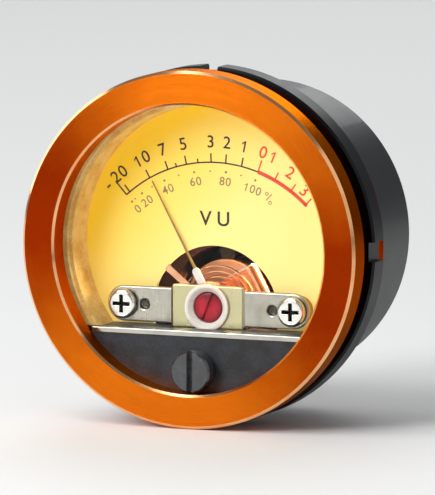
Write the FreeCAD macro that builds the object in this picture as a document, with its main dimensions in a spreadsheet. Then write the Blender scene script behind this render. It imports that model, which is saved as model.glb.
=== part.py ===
"""Panel VU meter with a moving-coil movement, as a parametric FreeCAD document.

Units are millimetres and degrees. +Z is up, the dial faces -Y and +X is to the right as the
dial is read. The origin is on the bezel's axis, in the plane where the back of the bezel's
flange meets the front of the panel: what stands in front of the panel has a negative y.
"""

import FreeCAD, Part
import math
import os

import Sketcher

# --------------------------------------------------------------------------------------
# Driving dimensions: alias, value, meaning
# --------------------------------------------------------------------------------------

DIMENSIONS = (
    ("ring_radius", 20.0, "bezel flange, outside"),
    ("flange_width", 3.8, "flange face, from the opening to the outside"),
    ("flange_thickness", 3.0, "how far the bezel stands in front of the panel"),
    ("outer_bevel", 0.4, "polished bevel round the flange"),
    ("inner_bevel", 0.25, "bevel at the mouth of the opening"),
    ("lip_recess", 0.3, "from the panel plane forward to the back of the lip"),
    ("seat_width", 1.4, "panel seat behind the flange, radial"),
    ("register_length", 2.0, "plain part of the spigot that centres the panel hole"),
    ("relief_width", 0.5, "thread relief behind that part"),
    ("relief_depth", 0.4, "thread relief"),
    ("spigot_wall", 1.2, "spigot wall"),
    ("spigot_tail", 1.0, "spigot behind its retaining ring groove"),
    ("groove_depth", 0.6, "retaining ring groove, depth in the wall"),
    ("ring_groove", 0.6, "retaining ring groove, width"),
    ("clip_thickness", 0.5, "retaining ring"),
    ("clip_gap", 6.0, "opening of the retaining ring"),
    ("panel_thickness", 3.0, "panel between the flange and the nut"),
    ("nut_thickness", 3.0, "clamp nut"),
    ("nut_wall", 1.35, "clamp nut, radial"),
    ("nut_notch_width", 2.2, "spanner notches of the clamp nut"),
    ("nut_notch_depth", 0.7, "spanner notches, radial depth"),
    ("window_thickness", 1.2, "clear window"),
    ("skirt_height", 6.8, "skirt above the bottom of the opening"),
    ("ledge_thickness", 0.8, "ledge that runs back from the skirt"),
    ("ledge_gap", 0.3, "from the ledge to the dial"),
    ("trim_height", 0.6, "bright strip on the skirt"),
    ("trim_thickness", 0.7, "bright strip, front to back"),
    ("trim_proud", 0.1, "bright strip in front of the skirt"),
    ("zero_edge_gap", 0.1, "zero screw head to the edge of the opening"),
    ("zero_head_radius", 2.35, "zero screw head"),
    ("zero_head_thickness", 1.9, "zero screw head"),
    ("zero_slot_width", 0.8, "zero screw slot"),
    ("zero_slot_depth", 0.8, "zero screw slot"),
    ("zero_shank_radius", 1.2, "zero screw shank"),
    ("zero_barb", 0.25, "snap-in barb behind the skirt, radial"),
    ("eccentric_radius", 0.35, "eccentric pin of the zero screw"),
    ("eccentric_throw", 1.0, "eccentric pin above the screw's axis"),
    ("reflector_depth", 4.1, "from the window to the dial"),
    ("reflector_lip", 0.4, "front land of the reflector"),
    ("reflector_step", 0.45, "radial step behind the front land"),
    ("reflector_taper", 0.7, "reflector at the dial inside the bezel opening, radial"),
    ("dial_thickness", 0.4, "dial plate"),
    ("dial_web", 0.95, "dial between its cut-out and a pillar hole"),
    ("dial_cut_offset", 0.95, "centre of the cut-out below the pointer axis"),
    ("diffuser_thickness", 1.0, "light diffuser"),
    ("diffuser_relief", 0.3, "diffuser cut back from the dial's cut-out"),
    ("bridge_skirt_gap", 0.35, "front bridge above the skirt"),
    ("bridge_end_radius", 2.0, "half height of the bridge, and its round ends"),
    ("bridge_thickness", 0.7, "front bridge"),
    ("bridge_block_half_width", 4.3, "raised middle of the front bridge"),
    ("bridge_block_half_height", 2.45, "raised middle of the front bridge"),
    ("bridge_block_proud", 0.15, "raised middle in front of the bar"),
    ("bridge_hole_radius", 0.55, "dowel holes of the bridge"),
    ("bridge_hole_depth", 0.5, "dowel holes of the bridge, which are blind"),
    ("bridge_hole_inset", 2.5, "dowel holes inside the bridge screws"),
    ("bridge_screw_radius", 0.8, "bridge screw shank"),
    ("bridge_head_radius", 1.7, "bridge screw head"),
    ("bridge_head_height", 0.8, "bridge screw head"),
    ("bridge_head_round", 0.44, "round rim of the bridge screw head"),
    ("cross_reach", 1.02, "cross recess of the bridge screws, half its width"),
    ("cross_half_width", 0.22, "cross recess, half the width of an arm"),
    ("cross_depth", 0.64, "cross recess"),
    ("bridge_screw_length", 3.4, "bridge screw shank"),
    ("pillar_radius", 1.5, "bridge pillar"),
    ("pillar_yoke_gap", 0.4, "bridge pillar to the yoke ring"),
    ("pillar_stem_radius", 1.0, "stem of the pillar in the frame"),
    ("pillar_stem", 0.7, "length of that stem"),
    ("collar_radius", 2.65, "white collar round the jewel screw"),
    ("collar_rim", 0.4, "collar rim in front of the bridge block"),
    ("collar_sleeve", 2.05, "collar sleeve through the bridge"),
    ("jewel_head_radius", 1.75, "red jewel screw head"),
    ("jewel_head_height", 0.5, "red jewel screw head"),
    ("jewel_head_round", 0.28, "round rim of the jewel screw head"),
    ("dish_radius", 2.25, "dish of the collar at its mouth"),
    ("jewel_recess", 0.5, "jewel screw behind the collar's face"),
    ("jewel_shank", 1.15, "jewel screw shank radius"),
    ("jewel_slot_width", 0.36, "jewel screw slot"),
    ("jewel_slot_depth", 0.35, "jewel screw slot"),
    ("jewel_slot_angle", 22.0, "slot of the jewel screw, off vertical"),
    ("cup_radius", 0.45, "jewel cup at its mouth"),
    ("cup_depth", 0.5, "jewel cup"),
    ("stop_radius", 0.25, "stop pegs"),
    ("stop_reach", 3.25, "stop pegs from the pointer axis"),
    ("stop_angle", 110.0, "stop pegs, off vertical"),
    ("lever_thickness", 0.25, "zero lever"),
    ("lever_ring_radius", 2.8, "zero lever ring, outside"),
    ("lever_tail_half_width", 0.6, "zero lever tail"),
    ("lever_arm_half_width", 0.4, "zero lever arm to the hairspring"),
    ("lever_arm_tail", 1.6, "that arm beyond the hairspring's finger"),
    ("fork_half_width", 1.0, "fork at the end of the lever tail"),
    ("fork_length", 1.9, "fork, along the tail"),
    ("fork_gap", 0.1, "fork to eccentric pin, each side"),
    ("finger_overhang", 0.15, "hairspring finger beyond the inside of the coil"),
    ("finger_half_width", 0.25, "finger, half its width"),
    ("finger_angle", 51.5, "finger, left of vertical"),
    ("rest_angle", 28.5, "pointer left of vertical at rest"),
    ("pointer_headroom", 7.65, "upright pointer short of the top of the opening"),
    ("pointer_root", 1.0, "start of the pointer blade from its axis"),
    ("pointer_root_half_width", 0.18, "pointer blade at its root"),
    ("pointer_tip_half_width", 0.07, "pointer blade at its tip"),
    ("pointer_thickness", 0.1, "pointer blade"),
    ("pointer_clearance", 0.4, "pointer to the dial plane"),
    ("sleeve_clearance", 0.3, "pointer cross to the collar sleeve"),
    ("arm_thickness", 0.2, "arms of the pointer cross"),
    ("arm_half_width", 0.15, "side and tail arms of the pointer cross"),
    ("front_arm_half_width", 0.45, "front arm of the pointer cross"),
    ("front_arm_length", 4.7, "front arm of the pointer cross"),
    ("side_arm_length", 2.5, "side arms of the pointer cross"),
    ("tail_arm_length", 3.6, "tail arm of the pointer cross"),
    ("hub_radius", 0.8, "hub of the pointer cross and rear collet"),
    ("weight_radius", 0.38, "balance weights"),
    ("side_weight_length", 0.6, "balance weights of the side arms"),
    ("tail_weight_length", 1.7, "balance weight of the tail arm"),
    ("weight_inset", 0.15, "arm end beyond its balance weight"),
    ("pivot_radius", 0.25, "pivot pins"),
    ("pivot_taper", 0.55, "conical end of the pivot pins"),
    ("pivot_shake", 0.05, "pivot tip to the bottom of its cup"),
    ("pivot_base_radius", 1.1, "foot of a pivot on the coil"),
    ("pivot_base", 0.3, "thickness of that foot"),
    ("spring_thickness", 0.1, "hairspring strip"),
    ("spring_width", 0.45, "hairspring strip, along the axis"),
    ("spring_turns", 6.5, "turns of a hairspring"),
    ("spring_rise", 0.4, "hairspring, inner end behind outer end"),
    ("spring_setback", 0.6, "front hairspring behind the dial plane"),
    ("coil_core_gap", 0.25, "coil former to the core magnet"),
    ("coil_former", 0.15, "coil former, thickness"),
    ("coil_winding_depth", 0.45, "coil winding, thickness"),
    ("coil_former_width", 4.8, "coil former, width"),
    ("coil_winding_width", 4.4, "coil winding, width"),
    ("coil_corner", 0.6, "corner radius inside the coil former"),
    ("coil_end_gap", 0.35, "coil former to the ends of the core"),
    ("air_gap", 1.5, "core magnet to the yoke ring"),
    ("core_inset", 0.3, "core magnet inside the yoke's ends"),
    ("yoke_case_gap", 0.45, "yoke ring to the case wall, at the bottom"),
    ("yoke_wall", 2.0, "yoke ring, wall"),
    ("yoke_length", 6.8, "yoke ring, length"),
    ("yoke_setback", 1.6, "yoke behind the diffuser"),
    ("spacer_angle", 18.0, "core spacers, angle each covers"),
    ("spacer_inset", 0.3, "core spacers inside the core's ends"),
    ("yoke_screw_radius", 0.5, "yoke screw shank"),
    ("yoke_screw_head", 0.95, "yoke screw head radius"),
    ("yoke_screw_depth", 2.5, "yoke screw in the yoke"),
    ("yoke_screw_head_height", 0.6, "yoke screw head"),
    ("frame_gap", 0.2, "movement frame to the case wall"),
    ("frame_thickness", 1.6, "movement frame plate"),
    ("frame_bore_gap", 0.3, "frame opening beyond the yoke bore"),
    ("stud_reach", 9.0, "terminal studs from the centre"),
    ("sign_drop", 5.6, "plus and minus signs on the case, below the studs"),
    ("sign_reach", 1.2, "those signs, half their width"),
    ("sign_half_width", 0.25, "those signs, half the width of a stroke"),
    ("sign_depth", 0.25, "those signs, sunk in the case"),
    ("stud_height", 1.0, "terminal studs above the bezel's axis"),
    ("stud_radius", 1.5, "terminal studs"),
    ("stud_boss_radius", 3.0, "frame bosses round the studs"),
    ("stud_tail", 3.2, "stud behind its last nut"),
    ("stud_root", 1.0, "frame left in front of the stud"),
    ("lamp_post_inset", 4.1, "lamp board posts inside the board's radius"),
    ("lamp_post_angle", 54.16, "lamp board posts, off vertical"),
    ("lamp_post_radius", 1.6, "lamp board posts"),
    ("lamp_board_thickness", 1.0, "lamp board"),
    ("lamp_board_setback", 5.6, "lamp board behind the diffuser"),
    ("lamp_yoke_gap", 1.15, "lamp board above the yoke ring"),
    ("lamp_board_gap", 0.6, "lamp board to the case wall"),
    ("lamp_screw_radius", 0.6, "lamp board screw shank"),
    ("lamp_screw_head", 1.2, "lamp board screw head radius"),
    ("lamp_screw_head_height", 0.6, "lamp board screw head"),
    ("lamp_screw_length", 3.0, "lamp board screw shank"),
    ("led_width", 3.5, "light-emitting diode"),
    ("led_height", 2.8, "light-emitting diode"),
    ("led_thickness", 1.9, "light-emitting diode"),
    ("led_post_gap", 0.85, "outer diodes to the heads of the lamp board screws"),
    ("led_inset", 4.2, "middle diode inside the board's radius"),
    ("led_step", 1.2, "outer diodes below the middle one"),
    ("lamp_pin_radius", 0.4, "lamp pins"),
    ("lamp_pin_spacing", 2.54, "lamp pins, centre to centre"),
    ("lamp_pin_gap", 1.2, "lamp pins below the middle diode"),
    ("lamp_pin_tail", 5.0, "lamp pins behind the case"),
    ("rear_post_angle", 82.0, "rear hairspring's post, right of vertical"),
    ("rear_screw_reach", 1.25, "rear jewel screw behind the coil's pivot foot"),
    ("rear_bridge_setback", 0.6, "rear bridge behind the end of its screw"),
    ("rear_bridge_thickness", 0.8, "rear bridge"),
    ("rear_bridge_half_height", 1.8, "rear bridge and the feet under it"),
    ("rear_screw_tail", 1.2, "rear jewel screw behind its bridge"),
    ("rear_nut_thickness", 1.0, "lock nut of the rear jewel screw"),
    ("rear_nut_flat", 2.0, "that nut, half across the flats"),
    ("rear_head_height", 0.8, "rear bridge screw head"),
    ("rear_head_radius", 1.5, "rear bridge screw head"),
    ("rear_shank_depth", 0.5, "rear bridge screw in the frame plate"),
    ("case_collar", 1.2, "case collar, front to back"),
    ("case_step", 0.5, "case collar beyond the case, radial"),
    ("case_wall", 1.0, "case wall"),
    ("case_back", 1.2, "case back"),
    ("case_room", 2.4, "rear bridge to the inside of the case back"),
    ("case_bevel", 0.6, "bevel round the case back"),
    ("washer_radius", 3.0, "terminal washer"),
    ("washer_thickness", 0.5, "terminal washer and solder tag"),
    ("terminal_nut_thickness", 2.4, "terminal nut"),
    ("terminal_nut_flat", 2.75, "terminal nut, half across the flats"),
    ("tag_length", 7.0, "solder tag, stud to eye"),
    ("tag_half_width", 1.1, "solder tag tongue"),
    ("tag_eye", 0.6, "solder tag eye radius"),
    ("stack_gap", 0.1, "window, dial and collar inside the spigot, radial"),
    ("nut_gap", 0.05, "clamp nut on the spigot thread, radial"),
    ("clip_clearance", 0.05, "retaining ring in its groove, radial"),
    ("press_gap", 0.01, "pressed and screwed pieces, radial"),
    ("running_gap", 0.05, "turning pieces, radial and end"),
    ("free_gap", 0.1, "pieces that pass through without touching"),
)

# Sizes that follow from the driving ones: alias, formula, meaning. A radius is from the bezel's
# axis unless it names a piece of its own, and a drop is measured down from that axis.

DERIVED = (
    ("ring_bore", "ring_radius - flange_width", "opening in the flange"),
    ("reflector_mouth", "ring_bore - reflector_taper", "reflector at the dial"),
    ("spigot_radius", "ring_radius - seat_width", "spigot, outside"),
    ("spigot_bore", "spigot_radius - spigot_wall", "spigot, inside"),
    ("stack_radius", "spigot_bore - stack_gap", "window, dial and case collar"),
    ("case_radius", "stack_radius - case_step", "case, outside"),
    ("case_bore", "case_radius - case_wall", "case, inside"),
    ("nut_bore", "spigot_radius + nut_gap", "clamp nut, inside"),
    ("nut_radius", "nut_bore + nut_wall", "clamp nut, outside"),
    ("skirt_drop", "ring_bore - skirt_height", "top of the skirt"),
    ("zero_drop", "ring_bore - zero_edge_gap - zero_head_radius", "axis of the zero screw"),
    ("pivot_drop", "skirt_drop - bridge_skirt_gap - bridge_end_radius", "pointer axis"),
    ("pointer_length", "ring_bore + pivot_drop - pointer_headroom", "pointer tip from its axis"),
    ("ledge_notch", "bridge_block_half_width + free_gap", "notch of the ledge, half its width"),
    ("yoke_radius", "case_bore - pivot_drop - yoke_case_gap", "yoke ring, outside"),
    ("yoke_bore", "yoke_radius - yoke_wall", "yoke ring, inside"),
    ("core_radius", "yoke_bore - air_gap", "core magnet"),
    ("coil_inner_span", "core_radius + coil_core_gap", "coil former, inside half span"),
    ("finger_reach", "coil_inner_span + finger_overhang", "finger from the pointer axis"),
    ("pillar_hole", "pillar_radius + free_gap", "hole in the dial for a bridge pillar"),
    ("bridge_reach", "yoke_radius + pillar_yoke_gap + pillar_radius",
     "bridge screws from the pointer axis"),
    ("bridge_hole_reach", "bridge_reach - bridge_hole_inset", "dowel holes from that axis"),
    ("dial_cut_radius", "bridge_reach - pillar_hole - dial_web", "cut-out of the dial"),
    ("dial_cut_drop", "pivot_drop + dial_cut_offset", "centre of the cut-out"),
    ("lamp_board_radius", "case_bore - lamp_board_gap", "lamp board"),
    ("lamp_board_edge", "yoke_radius - pivot_drop + lamp_yoke_gap", "lower edge of the lamp board"),
    ("lamp_post_reach", "(lamp_board_radius - lamp_post_inset) * sin(lamp_post_angle)",
     "lamp board posts, sideways"),
    ("lamp_post_height", "(lamp_board_radius - lamp_post_inset) * cos(lamp_post_angle)",
     "lamp board posts, up"),
    ("led_reach", "lamp_post_reach - lamp_screw_head - led_post_gap - led_width / 2",
     "outer diodes from the middle one, sideways"),
    ("led_level", "lamp_board_radius - led_inset", "middle diode, up"),
    ("lamp_pin_level", "led_level - led_height / 2 - lamp_pin_radius - lamp_pin_gap",
     "lamp pins, up"),
)


class Size:
    """A length or angle: the sheet expression that gives it, and its present value."""

    def __init__(self, text, value):
        self.text = text
        self.value = value

    def _join(self, other, sign, value, swap=False):
        first, second = (other, self) if swap else (self, other)
        return Size(f"({first.text} {sign} {second.text})", value(first.value, second.value))

    def __add__(self, other):
        return self._join(size(other), "+", lambda a, b: a + b)

    def __radd__(self, other):
        return self._join(size(other), "+", lambda a, b: a + b, swap=True)

    def __sub__(self, other):
        return self._join(size(other), "-", lambda a, b: a - b)

    def __rsub__(self, other):
        return self._join(size(other), "-", lambda a, b: a - b, swap=True)

    def __mul__(self, other):
        return self._join(size(other), "*", lambda a, b: a * b)

    def __rmul__(self, other):
        return self._join(size(other), "*", lambda a, b: a * b, swap=True)

    def __truediv__(self, other):
        return self._join(size(other), "/", lambda a, b: a / b)

    def __neg__(self):
        return Size(f"(0 - {self.text})", -self.value)


def size(value):
    """A plain number as a Size; a Size stays as it is."""
    return value if isinstance(value, Size) else Size(str(float(value)), float(value))


def root(value):
    """Square root of a Size."""
    return Size(f"sqrt({value.text})", math.sqrt(value.value))


def sine(angle):
    """Sine of an angle in degrees."""
    return Size(f"sin({angle.text})", math.sin(math.radians(angle.value)))


def cosine(angle):
    """Cosine of an angle in degrees."""
    return Size(f"cos({angle.text})", math.cos(math.radians(angle.value)))


def half_chord(radius, height):
    """Half the width of a circle at a height above or below its centre."""
    return root(radius * radius - height * height)


class Dimensions:
    """The cells of the sheet, each readable by its alias as a Size."""

    def __init__(self, sheet):
        formulas = tuple((alias, f"={formula}", meaning) for alias, formula, meaning in DERIVED)
        for row, (alias, content, meaning) in enumerate(DIMENSIONS + formulas, start=2):
            sheet.set(f"A{row}", alias)
            sheet.set(f"B{row}", str(content))
            sheet.setAlias(f"B{row}", alias)
            sheet.set(f"C{row}", meaning)
        sheet.Document.recompute()
        for alias, _, _ in DIMENSIONS + formulas:
            setattr(self, alias, Size(f"{sheet.Name}.{alias}", float(sheet.get(alias))))


# --------------------------------------------------------------------------------------
# Shapes that a sketch is drawn from, in the sketch's own two axes
# --------------------------------------------------------------------------------------


def constrain(sketch, name, kind, *arguments, value):
    """Add a constraint whose value follows a Size."""
    index = sketch.addConstraint(Sketcher.Constraint(kind, *arguments, value.value))
    sketch.renameConstraint(index, name)
    sketch.setExpression(f"Constraints.{name}", value.text)


def pin_point(sketch, geometry, vertex, across, up):
    """Fix a vertex of a sketch at a distance from the sketch's origin."""
    tag = f"g{geometry}v{vertex}"
    constrain(sketch, f"{tag}a", "DistanceX", -1, 1, geometry, vertex, value=size(across))
    constrain(sketch, f"{tag}u", "DistanceY", -1, 1, geometry, vertex, value=size(up))


class Circle:
    """A circle at (across, up)."""

    def __init__(self, across, up, radius):
        self.across = size(across)
        self.up = size(up)
        self.radius = size(radius)

    def draw(self, sketch):
        centre = FreeCAD.Vector(self.across.value, self.up.value, 0)
        circle = Part.Circle(centre, FreeCAD.Vector(0, 0, 1), self.radius.value)
        index = sketch.addGeometry(circle)
        constrain(sketch, f"g{index}r", "Radius", index, value=self.radius)
        pin_point(sketch, index, 3, self.across, self.up)


class Polygon:
    """A closed outline of straight lines through the given points."""

    def __init__(self, points):
        self.points = [(size(across), size(up)) for across, up in points]

    def draw(self, sketch):
        corners = [FreeCAD.Vector(across.value, up.value, 0) for across, up in self.points]
        first = sketch.GeometryCount
        count = len(corners)
        for index, corner in enumerate(corners):
            sketch.addGeometry(Part.LineSegment(corner, corners[(index + 1) % count]))
        for index, (across, up) in enumerate(self.points):
            line = first + index
            following = first + (index + 1) % count
            sketch.addConstraint(Sketcher.Constraint("Coincident", line, 2, following, 1))
            pin_point(sketch, line, 1, across, up)


class RoundedBox:
    """A rectangle with round corners."""

    def __init__(self, left, right, low, high, corner):
        self.limits = [size(value) for value in (left, right, low, high)]
        self.corner = size(corner)

    def draw(self, sketch):
        left, right, low, high = self.limits
        r = self.corner
        corners = (
            (right - r, low + r, -90), (right - r, high - r, 0),
            (left + r, high - r, 90), (left + r, low + r, 180),
        )
        first = sketch.GeometryCount
        for across, up, start in corners:
            centre = FreeCAD.Vector(across.value, up.value, 0)
            circle = Part.Circle(centre, FreeCAD.Vector(0, 0, 1), r.value)
            begin, end = math.radians(start), math.radians(start + 90)
            sketch.addGeometry(Part.ArcOfCircle(circle, begin, end))
        arcs = [first + k for k in range(4)]
        for k, arc in enumerate(arcs):
            following = arcs[(k + 1) % 4]
            line = sketch.addGeometry(Part.LineSegment(
                sketch.getPoint(arc, 2), sketch.getPoint(following, 1)))
            sketch.addConstraint(Sketcher.Constraint("Tangent", arc, 2, line, 1))
            sketch.addConstraint(Sketcher.Constraint("Tangent", line, 2, following, 1))
        for arc, (across, up, _) in zip(arcs, corners):
            pin_point(sketch, arc, 3, across, up)
        constrain(sketch, f"g{first}r", "Radius", arcs[0], value=r)


def box(left, right, low, high):
    """A rectangle between two values across and two values up."""
    return Polygon([(left, low), (right, low), (right, high), (left, high)])


def hexagon(across, up, half_flat):
    """A hexagon with a corner to the right, given half its width across the flats."""
    corner = half_flat / cosine(size(30))
    turns = [size(60 * k) for k in range(6)]
    return Polygon([(across + corner * cosine(a), up + corner * sine(a)) for a in turns])


def cross(across, up, reach, half_width):
    """A four-armed cross, as in a cross-head screw."""
    near, far = half_width, reach
    corners = (
        (near, far), (near, near), (far, near), (far, -near), (near, -near), (near, -far),
        (-near, -far), (-near, -near), (-far, -near), (-far, near), (-near, near), (-near, far),
    )
    return Polygon([(across + a, up + u) for a, u in corners])


def bar_from_axis(angle, near, far, half_width, rise=0.0):
    """A straight bar that leaves the origin at an angle off vertical, clockwise."""
    s, c = sine(angle), cosine(angle)
    corners = ((near, -half_width), (far, -half_width), (far, half_width), (near, half_width))
    return Polygon([(along * s + side * c, rise + along * c - side * s) for along, side in corners])


# --------------------------------------------------------------------------------------
# A sub-part
# --------------------------------------------------------------------------------------

doc = FreeCAD.newDocument("vu_meter")
sheet = doc.addObject("Spreadsheet::Sheet", "dims")
d = Dimensions(sheet)

PARTS = []


class Piece:
    """A PartDesign body with sketches on its own origin planes."""

    def __init__(self, label, drop=0, turn=0):
        self.body = doc.addObject("PartDesign::Body", label)
        self.body.Label = label
        self.body.AllowCompound = True
        self.planes = {item.Role: item for item in self.body.Origin.OriginFeatures}
        base = f"vector(0; 0; {(-size(drop)).text})"
        rotation = f"rotation(vector(0; -1; 0); {size(turn).text})"
        self.body.setExpression("Placement", f"placement({base}; {rotation})")
        PARTS.append(self.body)

    def _sketch(self, plane, shapes, offset):
        sketch = self.body.newObject("Sketcher::SketchObject", f"{self.body.Name}_sketch")
        sketch.AttachmentSupport = [(self.planes[plane], "")]
        sketch.MapMode = "FlatFace"
        for name, value in zip("xyz", offset):
            sketch.setExpression(f"AttachmentOffset.Base.{name}", size(value).text)
        for shape in shapes:
            shape.draw(sketch)
        return sketch

    def _feature(self, kind, sketch):
        feature = self.body.newObject(f"PartDesign::{kind}", f"{self.body.Name}_{kind.lower()}")
        feature.Profile = sketch
        return feature

    def turn(self, outline, across=0, up=0, angle=360):
        """Revolve an outline of (radius, y) points about an axis along y."""
        sketch = self._sketch("XY_Plane", [Polygon(outline)], (across, 0, up))
        feature = self._feature("Revolution", sketch)
        feature.ReferenceAxis = (sketch, ["V_Axis"])
        feature.setExpression("Angle", size(angle).text)
        feature.Midplane = True
        return self

    def pad(self, front, length, *shapes):
        """Extrude shapes drawn in x and z backwards from the plane y = front."""
        feature = self._feature("Pad", self._sketch("XZ_Plane", shapes, (0, 0, -front)))
        feature.Reversed = True
        feature.setExpression("Length", size(length).text)
        return self

    def pocket(self, front, length, *shapes):
        """Cut shapes drawn in x and z backwards from the plane y = front."""
        feature = self._feature("Pocket", self._sketch("XZ_Plane", shapes, (0, 0, -front)))
        feature.setExpression("Length", size(length).text)
        return self

    def pad_flat(self, width, *shapes):
        """Extrude shapes drawn in x and y to both sides of the plane z = 0."""
        feature = self._feature("Pad", self._sketch("XY_Plane", shapes, (0, 0, 0)))
        feature.Midplane = True
        feature.setExpression("Length", size(width).text)
        return self

    def pad_across(self, start, length, *shapes):
        """Extrude shapes drawn in x and y upwards from the plane z = start."""
        feature = self._feature("Pad", self._sketch("XY_Plane", shapes, (0, 0, start)))
        feature.setExpression("Length", size(length).text)
        return self

    def pad_side(self, start, length, *shapes):
        """Extrude shapes drawn in y and z towards +x from the plane x = start."""
        feature = self._feature("Pad", self._sketch("YZ_Plane", shapes, (0, 0, start)))
        feature.setExpression("Length", size(length).text)
        return self

    def mirror(self, plane="YZ_Plane"):
        """Repeat the whole body on the other side of one of its planes."""
        doc.recompute()
        feature = self.body.newObject("PartDesign::Mirrored", f"{self.body.Name}_mirrored")
        feature.TransformMode = "Whole shape"
        feature.MirrorPlane = (self.planes[plane], [""])
        self.body.Tip = feature
        return self

    def repeat_last(self, count, angle=360):
        """Repeat the last feature round the y axis."""
        last = self.body.Tip
        feature = self.body.newObject("PartDesign::PolarPattern", f"{self.body.Name}_pattern")
        feature.Originals = [last]
        feature.Axis = (self.planes["Y_Axis"], [""])
        feature.Angle = angle
        feature.Occurrences = count
        self.body.Tip = feature
        return self

    def round_edges(self, radius, chosen):
        """Fillet the edges of the body so far that a test picks."""
        doc.recompute()
        base = self.body.Tip
        edges = enumerate(base.Shape.Edges, start=1)
        names = [f"Edge{number}" for number, edge in edges if chosen(edge)]
        feature = self.body.newObject("PartDesign::Fillet", f"{self.body.Name}_fillet")
        feature.Base = (base, names)
        feature.setExpression("Radius", size(radius).text)
        return self


def washer(inner, outer, front, back):
    """Outline of a plain ring for Piece.turn."""
    return [(inner, front), (outer, front), (outer, back), (inner, back)]


def rod(radius, front, back):
    """Outline of a plain rod for Piece.turn."""
    return washer(0, radius, front, back)


# --------------------------------------------------------------------------------------
# Planes and radii shared by neighbours, from the front to the back
# --------------------------------------------------------------------------------------

ring_face = -d.flange_thickness
lip_back = -d.lip_recess
window_back = lip_back + d.window_thickness
dial_front = window_back + d.reflector_depth
dial_back = dial_front + d.dial_thickness
diffuser_back = dial_back + d.diffuser_thickness
collar_back = diffuser_back + d.case_collar
groove_back = collar_back + d.ring_groove
spigot_end = groove_back + d.spigot_tail
nut_front = d.panel_thickness

pointer_back = dial_front - d.pointer_clearance
pointer_front = pointer_back - d.pointer_thickness
arm_front = pointer_front - d.arm_thickness
sleeve_end = arm_front - d.sleeve_clearance
lever_back = sleeve_end - d.running_gap
lever_front = lever_back - d.lever_thickness
bridge_back = lever_front - d.running_gap
bridge_front = bridge_back - d.bridge_thickness
block_front = bridge_front - d.bridge_block_proud
collar_front = block_front - d.collar_rim
jewel_front = collar_front + d.jewel_recess
arm_middle = arm_front + d.arm_thickness / 2
weight_back = arm_middle + d.weight_radius

yoke_front = diffuser_back + d.yoke_setback
frame_front = yoke_front + d.yoke_length
frame_back = frame_front + d.frame_thickness
core_front = yoke_front + d.core_inset
core_back = frame_front - d.core_inset

former_front = core_front - d.coil_end_gap - d.coil_former
former_back = core_back + d.coil_end_gap + d.coil_former
coil_front = former_front - d.coil_winding_depth
coil_back = former_back + d.coil_winding_depth
foot_front = coil_front - d.pivot_base
foot_back = coil_back + d.pivot_base

front_spring = dial_front + d.spring_setback
front_spring_end = front_spring + d.spring_rise + d.spring_width
hub_front = arm_front - d.free_gap
hub_back = front_spring_end + d.free_gap
spring_outer = d.finger_reach - d.finger_half_width - d.spring_thickness / 2 - d.press_gap
spring_inner = d.hub_radius + d.spring_thickness / 2 + d.press_gap

rear_screw_front = foot_back + d.rear_screw_reach
rear_bridge_front = rear_screw_front + d.rear_bridge_setback
rear_bridge_back = rear_bridge_front + d.rear_bridge_thickness
rear_spring = foot_back + d.free_gap * 2
rear_spring_end = rear_spring + d.spring_rise + d.spring_width
case_inner_back = rear_bridge_back + d.case_room
case_end = case_inner_back + d.case_back

washer_back = case_end + d.washer_thickness
first_nut_back = washer_back + d.terminal_nut_thickness
tag_back = first_nut_back + d.washer_thickness
last_nut_back = tag_back + d.terminal_nut_thickness
stud_end = last_nut_back + d.stud_tail

lamp_front = diffuser_back + d.lamp_board_setback
lamp_back = lamp_front + d.lamp_board_thickness
fork_end = d.zero_drop - d.pivot_drop - d.eccentric_throw + d.fork_length / 2


# --------------------------------------------------------------------------------------
# Bezel, clamp nut, window and skirt
# --------------------------------------------------------------------------------------


def make_bezel_ring():
    """Flange with a bevelled face, and the spigot that passes through the panel."""
    groove = d.spigot_bore + d.groove_depth
    Piece("bezel_ring").turn([
        (d.ring_bore + d.inner_bevel, ring_face),
        (d.ring_radius - d.outer_bevel, ring_face),
        (d.ring_radius, ring_face + d.outer_bevel),
        (d.ring_radius, 0),
        (d.spigot_radius, 0),
        (d.spigot_radius, d.register_length),
        (d.spigot_radius - d.relief_depth, d.register_length),
        (d.spigot_radius - d.relief_depth, d.register_length + d.relief_width),
        (d.spigot_radius, d.register_length + d.relief_width),
        (d.spigot_radius, spigot_end),
        (d.spigot_bore, spigot_end),
        (d.spigot_bore, groove_back),
        (groove, groove_back),
        (groove, collar_back),
        (d.spigot_bore, collar_back),
        (d.spigot_bore, lip_back),
        (d.ring_bore, lip_back),
        (d.ring_bore, ring_face + d.inner_bevel),
    ])


def make_clamp_nut():
    """Ring nut behind the panel, with four spanner notches."""
    nut_back = nut_front + d.nut_thickness
    nut = Piece("clamp_nut")
    nut.turn(washer(d.nut_bore, d.nut_radius, nut_front, nut_back))
    half = d.nut_notch_width / 2
    floor = d.nut_radius - d.nut_notch_depth
    beyond = d.nut_radius + d.nut_notch_depth
    nut.pocket(nut_front, d.nut_thickness, box(-half, half, floor, beyond)).repeat_last(4)


def make_window():
    """Clear disc behind the lip, cut off straight above the skirt."""
    window = Piece("window")
    window.pad(lip_back, d.window_thickness, Circle(0, 0, d.stack_radius))
    below = box(-d.stack_radius, d.stack_radius, -d.stack_radius * 2, d.running_gap - d.skirt_drop)
    window.pocket(lip_back, d.window_thickness, below)


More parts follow.
